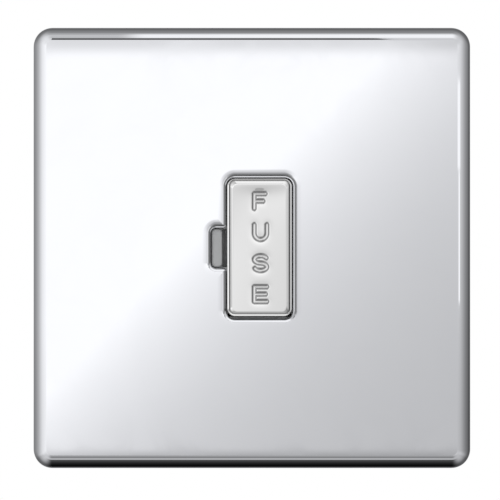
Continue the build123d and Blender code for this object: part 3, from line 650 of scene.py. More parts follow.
# %% [markdown]
# The module is a grey moulding, the liner of the plate a black one, the gasket is rubber and the tube of
# the fuse is ceramic. None of them is a metal, and all have a fine grain at a scale of their own. One loop
# builds them from a row of values each: dark and light colour, scale of the grain, relief in metres and
# roughness.

# %% Finishes: mouldings, gasket and ceramic
MOULDED = {
    "grey_moulding": ((0.33, 0.335, 0.34), (0.39, 0.395, 0.40), 6000.0, 0.000012, 0.5),
    "black_liner": ((0.018, 0.018, 0.019), (0.032, 0.032, 0.033), 5000.0, 0.000015, 0.55),
    "gasket_rubber": ((0.016, 0.016, 0.016), (0.034, 0.033, 0.032), 2500.0, 0.00005, 0.9),
    "fuse_ceramic": ((0.78, 0.74, 0.66), (0.84, 0.81, 0.74), 4000.0, 0.000006, 0.42),
}
MOULDED_EDGE = 0.00015
ROUGHNESS_SPREAD = 0.06

for name, (dark, light, scale, relief, rough) in MOULDED.items():
    tree, shader = new_finish(name)
    grain = place_group(tree, moulded_grain, Scale=scale)
    edges = place_group(tree, soft_edges, Radius=MOULDED_EDGE)
    roughness = blend_values(tree, grain["Height"], rough - ROUGHNESS_SPREAD, rough + ROUGHNESS_SPREAD)
    tree.links.new(tint(tree, grain["Mottle"], dark, light), shader["Base Color"])
    tree.links.new(roughness, shader["Roughness"])
    tree.links.new(bump(tree, grain["Height"], relief, edges["Normal"]), shader["Normal"])
print("finishes", sorted(finishes))

# %% [markdown]
# Most solids already have their final shape, so they need only a finish. It could be set piece by piece,
# but the record already says which material each piece has.

# %% Dress the solids
slot_of = {row["node"]: row["material_slot"] for row in frame["record"]["subparts"]}
for name, solid in frame["nodes"].items():
    solid.data.materials.clear()
    solid.data.materials.append(finishes[slot_of[name]])
print("dressed", len(frame["nodes"]), "solids")

# %% [markdown]
# The front plate is one pressed sheet: its outer edge is rolled back to the wall, and its opening is
# turned in to a lip. The solid has that shape, but a mirror shows every facet, so the sheet is made again
# from loops. A loop is the sheet's outline, grown or shrunk, at one depth; a list of loops is the sheet's
# section. Each loop also says how far the surface leans there, so the normals are smooth however few loops
# there are. A pressing is never quite even, so each side of the outline can take its own share of the
# lean, and the top and the bottom can carry theirs on into the corners. A boolean could cut the opening,
# but would leave uneven triangles in the mirror.

# %% Outline loops
ARC_STEPS = 14
SMALLEST_CORNER = 1.15
SMALLEST_HOLLOW = 0.2
EVEN = (1.0, 1.0, 1.0, 1.0)
NO_SHADE = (0.0, 0.0, 0.0, 0.0)
NO_HOLDS = (1, 1)
NO_LIFTS = (0.0, 0.0)


def outline_loop(corners, grow):
    """Points and outward directions round an outline of right-angled corners (x, z, radius), in mm."""
    loop = []
    for index, (x, z, radius) in enumerate(corners):
        before, after = corners[index - 1], corners[(index + 1) % len(corners)]
        run_in = Vector((x - before[0], z - before[1])).normalized()
        run_out = Vector((after[0] - x, after[1] - z)).normalized()
        out_in = Vector((run_in.y, -run_in.x))
        out_out = Vector((run_out.y, -run_out.x))
        turn = 1 if run_in.cross(run_out) > 0 else -1
        rounding = max(radius + turn * grow, SMALLEST_CORNER if turn > 0 else SMALLEST_HOLLOW)
        middle = Vector((x, z)) + (grow - turn * rounding) * (out_in + out_out)
        for step in range(ARC_STEPS + 1):
            bend = math.pi / 2 * step / ARC_STEPS
            outward = math.cos(bend) * out_in + math.sin(bend) * out_out
            loop.append((middle + turn * rounding * outward, outward))
    return loop


def by_side(outward, sides, holds=NO_HOLDS):
    """Blends the (right, top, left, bottom) values; holds carry top and bottom on into the corners."""
    right, top, left, bottom = sides
    top_hold, bottom_hold = holds
    share = abs(outward.x) ** (2 * (bottom_hold if outward.y < 0 else top_hold))
    return share * (right if outward.x > 0 else left) + (1 - share) * (top if outward.y > 0 else bottom)


def box_corners(low_x, high_x, low_z, high_z, radius):
    """The four corners of an upright rounded box, anticlockwise, in mm."""
    places = ((high_x, low_z), (high_x, high_z), (low_x, high_z), (low_x, low_z))
    return [(x, z, radius) for x, z in places]


def arc(start, end, steps):
    """Evenly spaced values from start to end."""
    return [start + (end - start) * step / steps for step in range(steps + 1)]


def follow_arc(loops, radius, lean_from, lean_to, steps, painted_shade=NO_SHADE, sides=EVEN):
    """Goes on from the last loop along an arc; a negative radius is a hollow."""
    grow, depth = loops[-1][:2]
    for lean in arc(lean_from, lean_to, steps)[1:]:
        step_in = radius * (math.sin(math.radians(lean_from)) - math.sin(math.radians(lean)))
        step_down = radius * (math.cos(math.radians(lean_from)) - math.cos(math.radians(lean)))
        loops.append((grow - step_in, depth + step_down, lean, painted_shade, sides))


print("outline corners have", ARC_STEPS, "steps")

# %% [markdown]
# A section joins its loops by strips of quads. Flat areas need no loops: the front and the back of the
# sheet are filled between two rings. Smooth shading would average the normals of faces of very unlike
# size, so the section keeps a normal for each point and sets them on the mesh.

# %% Sections: loops joined to a closed shell
class Section:
    """A sheet or block that is built up loop by loop, with a normal and two masks of painted shade for each
    point.
    """

    def __init__(self):
        self.points, self.normals, self.faces = [], [], []
        # Each point keeps two masks of painted shade, for the opening's edge and for the cap's hollows.
        self.masks = {SATIN_SHADE_MASK: [], SHADE_MASK: []}

    def point(self, place, normal, satin=0.0, painted_shade=0.0):
        """Adds a point in mm and returns its number."""
        self.points.append(tuple(value * MM for value in place))
        self.normals.append(tuple(normal))
        self.masks[SATIN_SHADE_MASK].append(satin)
        self.masks[SHADE_MASK].append(painted_shade)
        return len(self.points) - 1

    def sweep(self, corners, loops, satin_shading=None, holds=NO_HOLDS, lifts=NO_LIFTS):
        """Joins loops of (grow, depth, lean, painted shade by side, share of the lean by side) by strips.

        Lifts turn the normals of the top and bottom corners towards straight up or down.
        """
        top_lift, bottom_lift = lifts
        rings = []
        for grow, depth, lean, *more in loops:
            painted_shade, lean_sides = more or (NO_SHADE, EVEN)
            ring = []
            for place, outward in outline_loop(corners, grow):
                tip = math.radians(lean * by_side(outward, lean_sides, holds))
                lift = bottom_lift if outward.y < 0 else top_lift
                tilt = Vector((outward.x * (1 - lift), outward.y)).normalized()
                normal = (tilt.x * math.sin(tip), -math.cos(tip), tilt.y * math.sin(tip))
                satin = satin_shading(lean, outward) if satin_shading else 0.0
                # The painted shade of this point, by side.
                dark = by_side(outward, painted_shade)
                ring.append(self.point((place.x, depth, place.y), normal, satin, dark))
            rings.append(ring)
        for near, far in zip(rings, rings[1:]):
            for index in range(len(near)):
                following = (index + 1) % len(near)
                self.faces.append((near[index], near[following], far[following], far[index]))
        return rings[0], rings[-1]

    def bridge(self, outer, inner):
        """Fills the space between two rings, one inside the other, across the shorter diagonals."""
        def apart(first, second):
            return math.dist(self.points[first], self.points[second])

        nearest = min(range(len(inner)), key=lambda place: apart(inner[place], outer[0]))
        outer = outer + outer[:1]
        inner = inner[nearest:] + inner[:nearest + 1]
        a = b = 0
        while a < len(outer) - 1 or b < len(inner) - 1:
            if a < len(outer) - 1 and b < len(inner) - 1:
                along_outer = apart(outer[a + 1], inner[b]) <= apart(outer[a], inner[b + 1])
            else:
                along_outer = a < len(outer) - 1
            if along_outer:
                self.faces.append((outer[a], outer[a + 1], inner[b]))
                a += 1
            else:
                self.faces.append((outer[a], inner[b + 1], inner[b]))
                b += 1

    def build(self, name, fills):
        """Makes the mesh object; each fill is a list of rings whose space is filled with flat faces."""
        made = mesh_object(name, self.points, self.faces)
        shell = bmesh.new()
        shell.from_mesh(made.data)
        shell.verts.ensure_lookup_table()
        for rings in fills:
            edges = []
            for ring in rings:
                for index, point in enumerate(ring):
                    pair = (shell.verts[point], shell.verts[ring[(index + 1) % len(ring)]])
                    edges.append(shell.edges.get(pair) or shell.edges.new(pair))
            bmesh.ops.triangle_fill(shell, edges=edges, use_beauty=True)
        bmesh.ops.recalc_face_normals(shell, faces=shell.faces)
        shell.to_mesh(made.data)
        shell.free()
        made.data.polygons.foreach_set("use_smooth", [True] * len(made.data.polygons))
        made.data.normals_split_custom_set_from_vertices(self.normals)
        for label, values in self.masks.items():
            made.data.attributes.new(label, "FLOAT", "POINT").data.foreach_set("value", values)
        return made


print("section masks", [SATIN_SHADE_MASK, SHADE_MASK])

# %% [markdown]
# The plate's outline is its solid's box with round corners. The opening follows the box of the fuse
# carrier with a narrow gap, and has a notch at the left for the blade of a screwdriver.

# %% Front plate: its outlines
PLATE_CORNER = 4.2
OPENING_CORNER = 2.0
OPENING_FOOT = 0.15
OPENING_SIDE = 0.06
NOTCH_REACH = 3.3
NOTCH_HALF = 4.45
NOTCH_CORNER = 1.25
NOTCH_INNER_CORNER = 0.5
CAP_GAP = 0.3

plate_left, plate_front, plate_bottom = plate_low / MM
plate_right, plate_back, plate_top = plate_high / MM
cap_low, cap_high = (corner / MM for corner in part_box("carrier_cap"))
opening_left, opening_right = cap_low.x - CAP_GAP, cap_high.x + CAP_GAP + OPENING_SIDE
opening_bottom, opening_top = cap_low.z - CAP_GAP - OPENING_FOOT, cap_high.z + CAP_GAP
notch_left = opening_left - NOTCH_REACH

plate_corners = box_corners(plate_left, plate_right, plate_bottom, plate_top, PLATE_CORNER)
opening_corners = [
    (opening_right, opening_bottom, OPENING_CORNER),
    (opening_right, opening_top, OPENING_CORNER),
    (opening_left, opening_top, OPENING_CORNER),
    (opening_left, NOTCH_HALF, NOTCH_INNER_CORNER),
    (notch_left, NOTCH_HALF, NOTCH_CORNER),
    (notch_left, -NOTCH_HALF, NOTCH_CORNER),
    (opening_left, -NOTCH_HALF, NOTCH_INNER_CORNER),
    (opening_left, opening_bottom, OPENING_CORNER),
]
print("opening in mm", round(opening_right - opening_left, 2), "x", round(opening_top - opening_bottom, 2))

# %% [markdown]
# From the face outwards, the sheet bends back in a quarter round and ends at the wall. Towards the opening
# it dips gently, turns in more and more sharply, and ends in a short lip. Each arc gives a radius, the
# lean at its start and end, a number of steps, and the share of the lean on the right, top, left and
# bottom side.

# %% Front plate: its section
PLATE_SHEET = 0.8
PLATE_ROLL = 2.95
ROLL_STEPS = 18
INNER_ROLL_STEPS = 8
EDGE_ROUND = 0.1
OPENING_LIP = 1.7
DIP_SIDES = (-0.12, 1.0, 0.2, 0.03)
TURN_SIDES = (-1.0, 1.0, -1.0, 1.8)
LAND_SIDES = (0.12, 0.0, 0.7, 1.0)
OPENING_ARCS = (
    (20, 0, 2.4, 4, DIP_SIDES),
    (2.6, 2.4, 8, 5, DIP_SIDES),
    (2.6, 8, 13, 4, TURN_SIDES),
    (1.0, 13, 30, 6, EVEN),
    (0.48, 30, 60, 5, LAND_SIDES),
    (0.4, 60, 90, 5, EVEN),
)


def turned_edge(grow_from, grow_to, depth, lean_from, side):
    """Loops round the end of the sheet, from one face to the other, with small rounds."""
    middle = EDGE_ROUND * (1 - math.sqrt(0.5))
    return [
        (grow_from, depth - EDGE_ROUND, lean_from),
        (grow_from + side * middle, depth - middle, lean_from + side * -45),
        (grow_from + side * EDGE_ROUND, depth, 180),
        (grow_to - side * EDGE_ROUND, depth, 180),
        (grow_to - side * middle, depth - middle, 180 + side * -45),
        (grow_to, depth - EDGE_ROUND, 180 + side * -90),
    ]


outer_loops = [(-PLATE_ROLL, plate_front, 0)]
follow_arc(outer_loops, PLATE_ROLL, 0, 90, ROLL_STEPS)
outer_loops += turned_edge(0, -PLATE_SHEET, plate_back, 90, -1)
outer_loops.append((-PLATE_SHEET, plate_front + PLATE_ROLL, 270))
follow_arc(outer_loops, PLATE_SHEET - PLATE_ROLL, 270, 180, INNER_ROLL_STEPS)

opening_width = sum(
    radius * (math.sin(math.radians(end)) - math.sin(math.radians(start)))
    for radius, start, end, *rest in OPENING_ARCS
)
opening_loops = [(opening_width, plate_front, 0)]
for radius, start, end, steps, lean_sides in OPENING_ARCS:
    follow_arc(opening_loops, radius, -start, -end, steps, sides=lean_sides)
opening_loops += turned_edge(0, PLATE_SHEET, plate_front + OPENING_LIP, -90, 1)
inner_face = plate_front + PLATE_SHEET
opening_loops += [
    (PLATE_SHEET, inner_face + EDGE_ROUND, 90),
    (PLATE_SHEET + EDGE_ROUND, inner_face, 180),
]
print("loops round the plate", len(outer_loops), "and its opening", len(opening_loops))

# %% [markdown]
# The turned edge of the opening gets a duller gloss and a dark painted shade, all but its lower side. On
# the left side the shaded band goes on over the whole lip. The bottom carries its look round the lower
# corners, so the line of light along it doesn't stop short there.

# %% Front plate: the sheet
OPENING_HOLDS = (1, 3)
OPENING_LIFTS = (0.0, 0.9)
# These values give the opening's turned edge a duller gloss and a dark painted shade.
SATIN_SHADE_SIDES = (1.0, 1.0, 0.9, 0.0)
SATIN_SHADE_KEPT = (0.0, 0.0, 1.0, 0.0)
SATIN_SHADE_START = 6.5
SATIN_SHADE_RANGE = 6.5
SATIN_SHADE_SKEW = 2.0
SATIN_SHADE_END = 28


def opening_satin_shade(lean, outward):
    """A duller gloss and a painted shade where the opening's surface turns in, all but its lower side."""
    started = (abs(lean) - SATIN_SHADE_START + SATIN_SHADE_SKEW * outward.x) / SATIN_SHADE_RANGE
    ended = (abs(lean) - SATIN_SHADE_END) * (1 - by_side(outward, SATIN_SHADE_KEPT))
    turned_share = min(max(started, 0.0), 1.0) - min(max(ended, 0.0), 1.0)
    return by_side(outward, SATIN_SHADE_SIDES, OPENING_HOLDS) * turned_share


sheet = Section()
outer_front, outer_inner = sheet.sweep(plate_corners, outer_loops)
opening_front, opening_inner = sheet.sweep(
    opening_corners, opening_loops, opening_satin_shade, OPENING_HOLDS, OPENING_LIFTS
)
front_plate = sheet.build("front_plate_sheet", [(outer_front, opening_front), (outer_inner, opening_inner)])
front_plate.data.materials.append(finishes["polished_chrome"])
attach(front_plate, "cover_plate")
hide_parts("front_plate")
print("front plate faces", len(front_plate.data.polygons))

# %% [markdown]
# The carrier cap is a chromed moulding: a rounded bead for a rim, a groove inside it, and a soft pillow
# with a slightly dished field. Its plating is a more neutral grey than the plate's, and a painted shade
# darkens the groove and the strokes. The word FUSE is pressed into the field in plain round-ended strokes,
# one letter under the other. Text objects would bring a font's own shapes, so the letters are drawn as a
# few lines and arcs here. The field is a fine grid whose depth follows the distance to the nearest stroke,
# and it sinks a little round each letter.

# %% Carrier cap: the letters
LETTER_HALF_WIDTH = 1.37
LETTER_HALF_HEIGHT = 1.6
LETTER_PITCH = 6.72
WORD = "FUSE"
WORD_X = 1.88
WORD_TOP_Z = 10.15
BOW_STEPS = 18
S_START = 25
F_TOP_ARM = 0.75
F_MIDDLE_ARM = 0.4
E_MIDDLE_ARM = 0.8


def bow(middle_x, middle_z, reach_x, reach_z, start, end):
    """Points on an oval bow between two angles in degrees."""
    points = []
    for degrees in arc(start, end, BOW_STEPS):
        turn = math.radians(degrees)
        points.append((middle_x + reach_x * math.cos(turn), middle_z + reach_z * math.sin(turn)))
    return points


w, h = LETTER_HALF_WIDTH, LETTER_HALF_HEIGHT
LETTERS = {
    "F": [[(-w, -h), (-w, h), (F_TOP_ARM * w, h)], [(-w, 0), (F_MIDDLE_ARM * w, 0)]],
    "U": [[(-w, h)] + bow(0, w - h, w, w, 180, 360) + [(w, h)]],
    "S": [bow(0, h / 2, w, h / 2, S_START, 270) + bow(0, -h / 2, w, h / 2, 90, S_START - 180)],
    "E": [[(w, h), (-w, h), (-w, -h), (w, -h)], [(-w, 0), (E_MIDDLE_ARM * w, 0)]],
}


def stroke_distance(x, z, word):
    """Distance in mm from each point of a grid to the nearest stroke of the word."""
    nearest = np.full(x.shape, np.inf)
    for row, letter in enumerate(word):
        local_x, local_z = x - WORD_X, z - (WORD_TOP_Z - row * LETTER_PITCH)
        for stroke in LETTERS[letter]:
            for (ax, az), (bx, bz) in zip(stroke, stroke[1:]):
                run_x, run_z = bx - ax, bz - az
                along = ((local_x - ax) * run_x + (local_z - az) * run_z) / (run_x**2 + run_z**2)
                along = np.clip(along, 0, 1)
                gap = np.hypot(local_x - ax - along * run_x, local_z - az - along * run_z)
                nearest = np.minimum(nearest, gap)
    return nearest


print("letters", sorted(LETTERS), "pitch", LETTER_PITCH)

# %% [markdown]
# The section of the cap starts at its back, goes over the bead of the rim and down into the groove, and
# rises to the pillow. The groove is a hollow arc, so its radius is negative. Modifiers could bevel a
# block, but each of these small rounds has its own radius and its own share of painted shade.

# %% Carrier cap: rim, groove and pillow edge
CAP_CORNER = 1.7
CAP_FOOT = 0.2
CAP_BACK_ROUND = 0.15
BEAD_OUTER_ROUND = 0.13
BEAD_OUTER_STEPS = 8
BEAD_INNER_ROUND = 0.27
BEAD_INNER_STEPS = 10
BEAD_INNER_LEAN = -60
GROOVE_WALL_LEAN = -78
GROOVE_DROP = 0.15
GROOVE_ROUND = 0.04
GROOVE_STEPS = 6
# A painted shade in the groove, by side.
GROOVE_SHADE = (1.0, 0.0, 1.0, 0.0)
GROOVE_SIDES = (1.0, 1.0, 1.0, 0.06)
# The last column of each arc is its painted shade by side, on the foot of the pillow.
PILLOW_ARCS = (
    (0.2, 55, 30, 4, (1.0, 0.0, 1.0, 1.0)),
    (1.5, 30, 24, 3, (0.6, 0.0, 0.6, 0.6)),
    (2.8, 24, 17, 5, NO_SHADE),
    (0.15, 17, 3, 4, NO_SHADE),
    (4.0, 3, 0, 1, NO_SHADE),
)
BEAD_SIDES = (1.22, 1.0, -0.1, 0.06)
PILLOW_SIDES = (0.8, 0.85, -0.08, 0.08)

cap_front, cap_back = cap_low.y, cap_high.y
cap_corners = box_corners(cap_low.x, cap_high.x, cap_low.z + CAP_FOOT, cap_high.z, CAP_CORNER)
cap_loops = [(-CAP_BACK_ROUND, cap_back, 180), (0, cap_back - CAP_BACK_ROUND, 90)]
cap_loops.append((0, cap_front + BEAD_OUTER_ROUND, 90))
follow_arc(cap_loops, BEAD_OUTER_ROUND, 90, 0, BEAD_OUTER_STEPS)
follow_arc(cap_loops, BEAD_INNER_ROUND, 0, BEAD_INNER_LEAN, BEAD_INNER_STEPS, sides=BEAD_SIDES)
bead_grow, bead_depth = cap_loops[-1][:2]
groove_step = GROOVE_DROP / math.tan(math.radians(-GROOVE_WALL_LEAN))
groove_grow, groove_depth = bead_grow - groove_step, bead_depth + GROOVE_DROP
pillow_lean = PILLOW_ARCS[0][1]
cap_loops.append((groove_grow, groove_depth, GROOVE_WALL_LEAN, GROOVE_SHADE, GROOVE_SIDES))
follow_arc(
    cap_loops, -GROOVE_ROUND, GROOVE_WALL_LEAN, pillow_lean, GROOVE_STEPS, GROOVE_SHADE, GROOVE_SIDES
)
for radius, start, end, steps, painted_shade in PILLOW_ARCS:
    follow_arc(cap_loops, radius, start, end, steps, painted_shade, PILLOW_SIDES)
field_grow, field_depth = cap_loops[-1][:2]
print("pillow top below the rim by mm", round(field_depth - cap_front, 3), "inset", round(-field_grow, 3))

# %% [markdown]
# The top of the pillow looks flat, but its reflections show a dish: it falls off from the top edge, more
# sharply in the middle than at the sides, and sags a little along its length. A sculpted mesh could show
# this, but a formula over a fine grid gives smooth slopes, and a mirror shows every uneven one.

# %% Carrier cap: the dished field
FIELD_STEP = 0.08
FIELD_MARGIN = 0.2
DISH_TOP = 0.045
DISH_REACHES = (0.7, 4.0)
DISH_HOLLOW = 0.6
DISH_LONG = 0.04
FIELD_LEAN_X = 0.003
FIELD_LEAN_Z = -0.0005

field_left, field_right = cap_low.x - field_grow, cap_high.x + field_grow
field_bottom, field_top = cap_low.z + CAP_FOOT - field_grow, cap_high.z + field_grow


def dip_from_edge(distance, reach):
    """A fall that starts level at the edge, is steepest at its reach, and levels out at 1."""
    share = np.maximum(distance, 0) / reach
    return 1 - (1 + share) * np.exp(-share)


def sag(z):
    """The long hollow of the field, deepest half-way up."""
    return DISH_LONG * (1 - (z / field_top) ** 2)


def grid_line(low, high):
    """Evenly spaced places between two edges, a margin away from both."""
    return np.linspace(low + FIELD_MARGIN, high - FIELD_MARGIN, int((high - low) / FIELD_STEP))


columns = grid_line(field_left, field_right)
rows = grid_line(field_bottom, field_top)
grid_x, grid_z = np.meshgrid(columns, rows)
across_share = (2 * grid_x - field_left - field_right) / (field_right - field_left)
hollow = 1 - DISH_HOLLOW * across_share**2
from_top = field_top - grid_z
short_dip, long_dip = (dip_from_edge(from_top, reach) for reach in DISH_REACHES)
dish = DISH_TOP * (short_dip * hollow + long_dip * (1 - hollow)) + sag(grid_z)
dish += FIELD_LEAN_X * (grid_x - (field_left + field_right) / 2) + FIELD_LEAN_Z * grid_z
print("field grid", len(columns), "x", len(rows))

# %% [markdown]
# Each stroke is a groove with rounded walls. A boolean would leave sharp rims and thin faces, so the depth
# of the grid is a curve of the distance to the stroke. The sink round the letters is the same mask, spread
# out by a soft bell. A painted shade darkens the walls most of all, and the floors a little.

# %% Carrier cap: the letters pressed into the field
STROKE_RIM = 0.62
STROKE_FLOOR = 0.17
STROKE_DEPTH = 0.25
STROKE_BEND = 1.2
STROKE_TOP_LEAN = 0.5
# A painted shade on the walls of the strokes, and a little on their floors.
STROKE_WALL_SHADE = 0.6
STROKE_FLOOR_SHADE = 0.1
SHADE_PEAK = 4
SINK_DEPTH = 0.026
SINK_REACH = 0.6
SINK_SPAN = 3
SINK_SIDE_LEAN = -0.2

inside = (STROKE_RIM - stroke_distance(grid_x, grid_z, WORD)) / (STROKE_RIM - STROKE_FLOOR)
inside = np.clip(inside, 0, 1)
pressed = STROKE_DEPTH * inside**2 * (1 + STROKE_BEND * (1 - inside))
stroke_shade = STROKE_WALL_SHADE * SHADE_PEAK * inside * (1 - inside)
stroke_shade += STROKE_FLOOR_SHADE * inside
cells = np.arange(-SINK_SPAN * SINK_REACH, SINK_SPAN * SINK_REACH, FIELD_STEP)
spread = np.exp(-((cells / SINK_REACH) ** 2) / 2)
spread /= spread.sum()
sink = inside
for axis in range(2):
    sink = np.apply_along_axis(np.convolve, axis, sink, spread, mode="same")
depth = field_depth + dish + pressed + SINK_DEPTH * sink
slope_z, slope_x = np.gradient(depth, rows, columns)
pressed_slope = np.gradient(pressed, rows, axis=0)
slope_z -= (1 - STROKE_TOP_LEAN) * np.minimum(pressed_slope, 0)
slope_x -= (1 - SINK_SIDE_LEAN) * SINK_DEPTH * np.gradient(sink, columns, axis=1)
print("letters are deep in mm", round(float(pressed.max()), 3))

# %% [markdown]
# The grid ends a little inside the pillow's last loop. That loop sags as the grid does, takes the normals
# of the nearest points of the grid, and is joined to its border by triangles across the shorter diagonals.

# %% Carrier cap: rim and field joined
CAP_HOLDS = (3, 2)
CAP_LIFTS = (0.5, 0.9)

cap = Section()
back_ring, pillow_ring = cap.sweep(cap_corners, cap_loops, holds=CAP_HOLDS, lifts=CAP_LIFTS)
across_count = len(columns)
for index in pillow_ring:
    x, y, z = cap.points[index]
    column, row = np.argmin(abs(columns - x / MM)), np.argmin(abs(rows - z / MM))
    cap.points[index] = (x, y + sag(z / MM) * MM, z)
    cap.normals[index] = Vector((slope_x[row, column], -1.0, slope_z[row, column])).normalized()
first = len(cap.points)
field_values = (grid_x, grid_z, depth, slope_x, slope_z, stroke_shade)
for x, z, y, lean_x, lean_z, dark in zip(*(values.flat for values in field_values)):
    cap.point((x, y, z), Vector((lean_x, -1.0, lean_z)).normalized(), painted_shade=dark)
for row in range(len(rows) - 1):
    for column in range(across_count - 1):
        corner = first + row * across_count + column
        cap.faces.append((corner, corner + 1, corner + across_count + 1, corner + across_count))
bottom_row = [first + column for column in range(across_count)]
right_column = [first + row * across_count + across_count - 1 for row in range(1, len(rows))]
top_row = [first + (len(rows) - 1) * across_count + column for column in range(across_count - 2, -1, -1)]
left_column = [first + row * across_count for row in range(len(rows) - 2, 0, -1)]
field_ring = bottom_row + right_column + top_row + left_column
cap.bridge(pillow_ring, field_ring)
carrier_cap = cap.build("carrier_cap_face", [(back_ring,)])
whole_cap = [1.0] * len(cap.points)
carrier_cap.data.attributes.new(NEUTRAL, "FLOAT", "POINT").data.foreach_set("value", whole_cap)
carrier_cap.data.materials.append(finishes["polished_chrome"])
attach(carrier_cap, "fuse_carrier")
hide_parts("carrier_cap")
print("carrier cap faces", len(carrier_cap.data.polygons))

# %% [markdown]
# Ten screws show from behind: six slotted screws that clamp the wires, two cross-headed screws that hold
# the two mouldings together, and two that hold the unit to its wall box. Their solids are plain cylinders.
# A screw modifier could wind a thread, but its ends stay ragged, so the thread is a strip that follows the
# helix, with a root, two flanks and a flat crest, and fades into the shank at both ends. The heads are
# turned on a lathe, and a boolean cuts the slot or the cross, whose floor gets a painted shade. Heights
# along a screw are measured from the face of its head.

# %% Screws: turned shapes
LATHE_SIDES = 48
THREAD_SIDES = 32
HEAD_TO_WALL, HEAD_TO_ROOM = 1, -1
THREAD_SECTION = ((0.0, 0.0), (0.25, 0.0), (0.56, 1.0), (0.69, 1.0))
ROOT_SINK = 0.01


def lathe_point(radius, turn, height, toward):
    """A point in metres, at a radius and a height in mm and an angle about the Y axis."""
    return (radius * math.cos(turn) * MM, -toward * height * MM, radius * math.sin(turn) * MM)


def turned(form, toward):
    """Points and faces of a form of (radius, height) in mm that is turned about the Y axis."""
    points, faces = [], []
    for radius, height in form:
        for step in range(LATHE_SIDES):
            points.append(lathe_point(radius, 2 * math.pi * step / LATHE_SIDES, height, toward))
    for ring in range(len(form) - 1):
        for step in range(LATHE_SIDES):
            following = (step + 1) % LATHE_SIDES
            near, far = ring * LATHE_SIDES, (ring + 1) * LATHE_SIDES
            faces.append((near + step, near + following, far + following, far + step))
    faces.append(tuple(range(LATHE_SIDES)))
    faces.append(tuple(range((len(form) - 1) * LATHE_SIDES, len(form) * LATHE_SIDES)))
    return points, faces


def threaded(crest, root, pitch, start, end, toward):
    """Points and faces of a right-handed thread between two heights in mm."""
    points, faces = [], []
    turns = math.ceil((end - start) / pitch)
    for step in range((turns + 1) * THREAD_SIDES + 1):
        turn = toward * 2 * math.pi * step / THREAD_SIDES
        for offset, level in THREAD_SECTION:
            height = start - pitch / 2 + pitch * (step / THREAD_SIDES + offset)
            height = min(max(height, start), end)
            fade = min(height - start, end - height, pitch / 2) / (pitch / 2)
            radius = root - ROOT_SINK * (1 - fade) + (crest - root) * level * fade
            points.append(lathe_point(radius, turn, height, toward))
    width = len(THREAD_SECTION)
    for step in range(turns * THREAD_SIDES):
        for part in range(width):
            near = step * width + part
            over = near + 1 if part < width - 1 else (step + THREAD_SIDES) * width
            faces.append((near, near + width, over + width, over))
    return points, faces


print("thread section", THREAD_SECTION)

# %% [markdown]
# A head has a slightly crowned face, a rounded edge and a broken edge at its seat. The shank reaches a
# little way into the head and ends in a tapered tip. A cutter is a bar that stands above the face, so that
# the cut is clean, and a cross recess narrows towards its floor.

# %% Screws: heads, recesses and shanks
CROWN_SHARES = (0.08, 0.4, 0.7, 1.0)
ROUND_START = 15
ROUND_STEPS = 6
SEAT_BREAK = 0.1
SEAT_INNER = 0.3
SHANK_OVERLAP = 0.1
SCREW_TIP = 0.4
CUTTER_RISE = 0.5
POINT_SLACK = 1e-6


def head_form(radius, height, rounding, crown):
    """A screw head from its crowned face, over its rounded edge, down to its seat."""
    flat = radius - rounding
    form = [(flat * share, crown * share**2) for share in CROWN_SHARES]
    for degrees in arc(ROUND_START, 90, ROUND_STEPS):
        tip = math.radians(degrees)
        form.append((flat + rounding * math.sin(tip), crown + rounding * (1 - math.cos(tip))))
    return form + [(radius, height - SEAT_BREAK), (radius - SEAT_BREAK, height), (SEAT_INNER, height)]


def shank_form(radius, start, length):
    """A shank from a height in mm to its tapered tip."""
    return [(radius, start), (radius, length - SCREW_TIP), (radius - SCREW_TIP, length)]


def screw_length(node):
    """Length of a screw's solid in mm."""
    low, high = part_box(node)
    return (high.y - low.y) / MM


def close_shell(mesh):
    """Joins points that coincide, drops flat faces, fills open ends and turns all faces outward."""
    shell = bmesh.new()
    shell.from_mesh(mesh)
    bmesh.ops.remove_doubles(shell, verts=shell.verts, dist=POINT_SLACK)
    bmesh.ops.dissolve_degenerate(shell, edges=shell.edges, dist=POINT_SLACK)
    open_edges = [edge for edge in shell.edges if edge.is_boundary]
    bmesh.ops.holes_fill(shell, edges=open_edges, sides=0)
    bmesh.ops.recalc_face_normals(shell, faces=shell.faces)
    shell.to_mesh(mesh)
    shell.free()


def recess_cutter(length, width, depth, taper, toward):
    """A bar that narrows to its tip, which cuts one slot of a recess."""
    points = []
    for height, share in ((-CUTTER_RISE, 1.0), (depth, taper)):
        for x, z in ((-1, -1), (1, -1), (1, 1), (-1, 1)):
            half_length, half_width = length / 2 * share, width / 2 * share
            points.append((x * half_length * MM, -toward * height * MM, z * half_width * MM))
    faces = [(0, 1, 2, 3), (4, 5, 6, 7), (0, 1, 5, 4), (1, 2, 6, 5), (2, 3, 7, 6), (3, 0, 4, 7)]
    cutter = mesh_object("recess_cutter", points, faces)
    close_shell(cutter.data)
    return cutter


print("screw shapes: head_form, shank_form, recess_cutter")

# %% [markdown]
# All screws of a kind share one mesh, which is placed where each solid is. The head is cut first, while
# its points can still be told from those of the shank, because only the floor of its recess gets a painted
# shade.

# %% Screws: joined and placed
SHARP_ANGLE = math.radians(28)
# The floor of each recess gets a painted shade.
RECESS_SHADE = 0.85
RECESS_SLACK = 1e-5


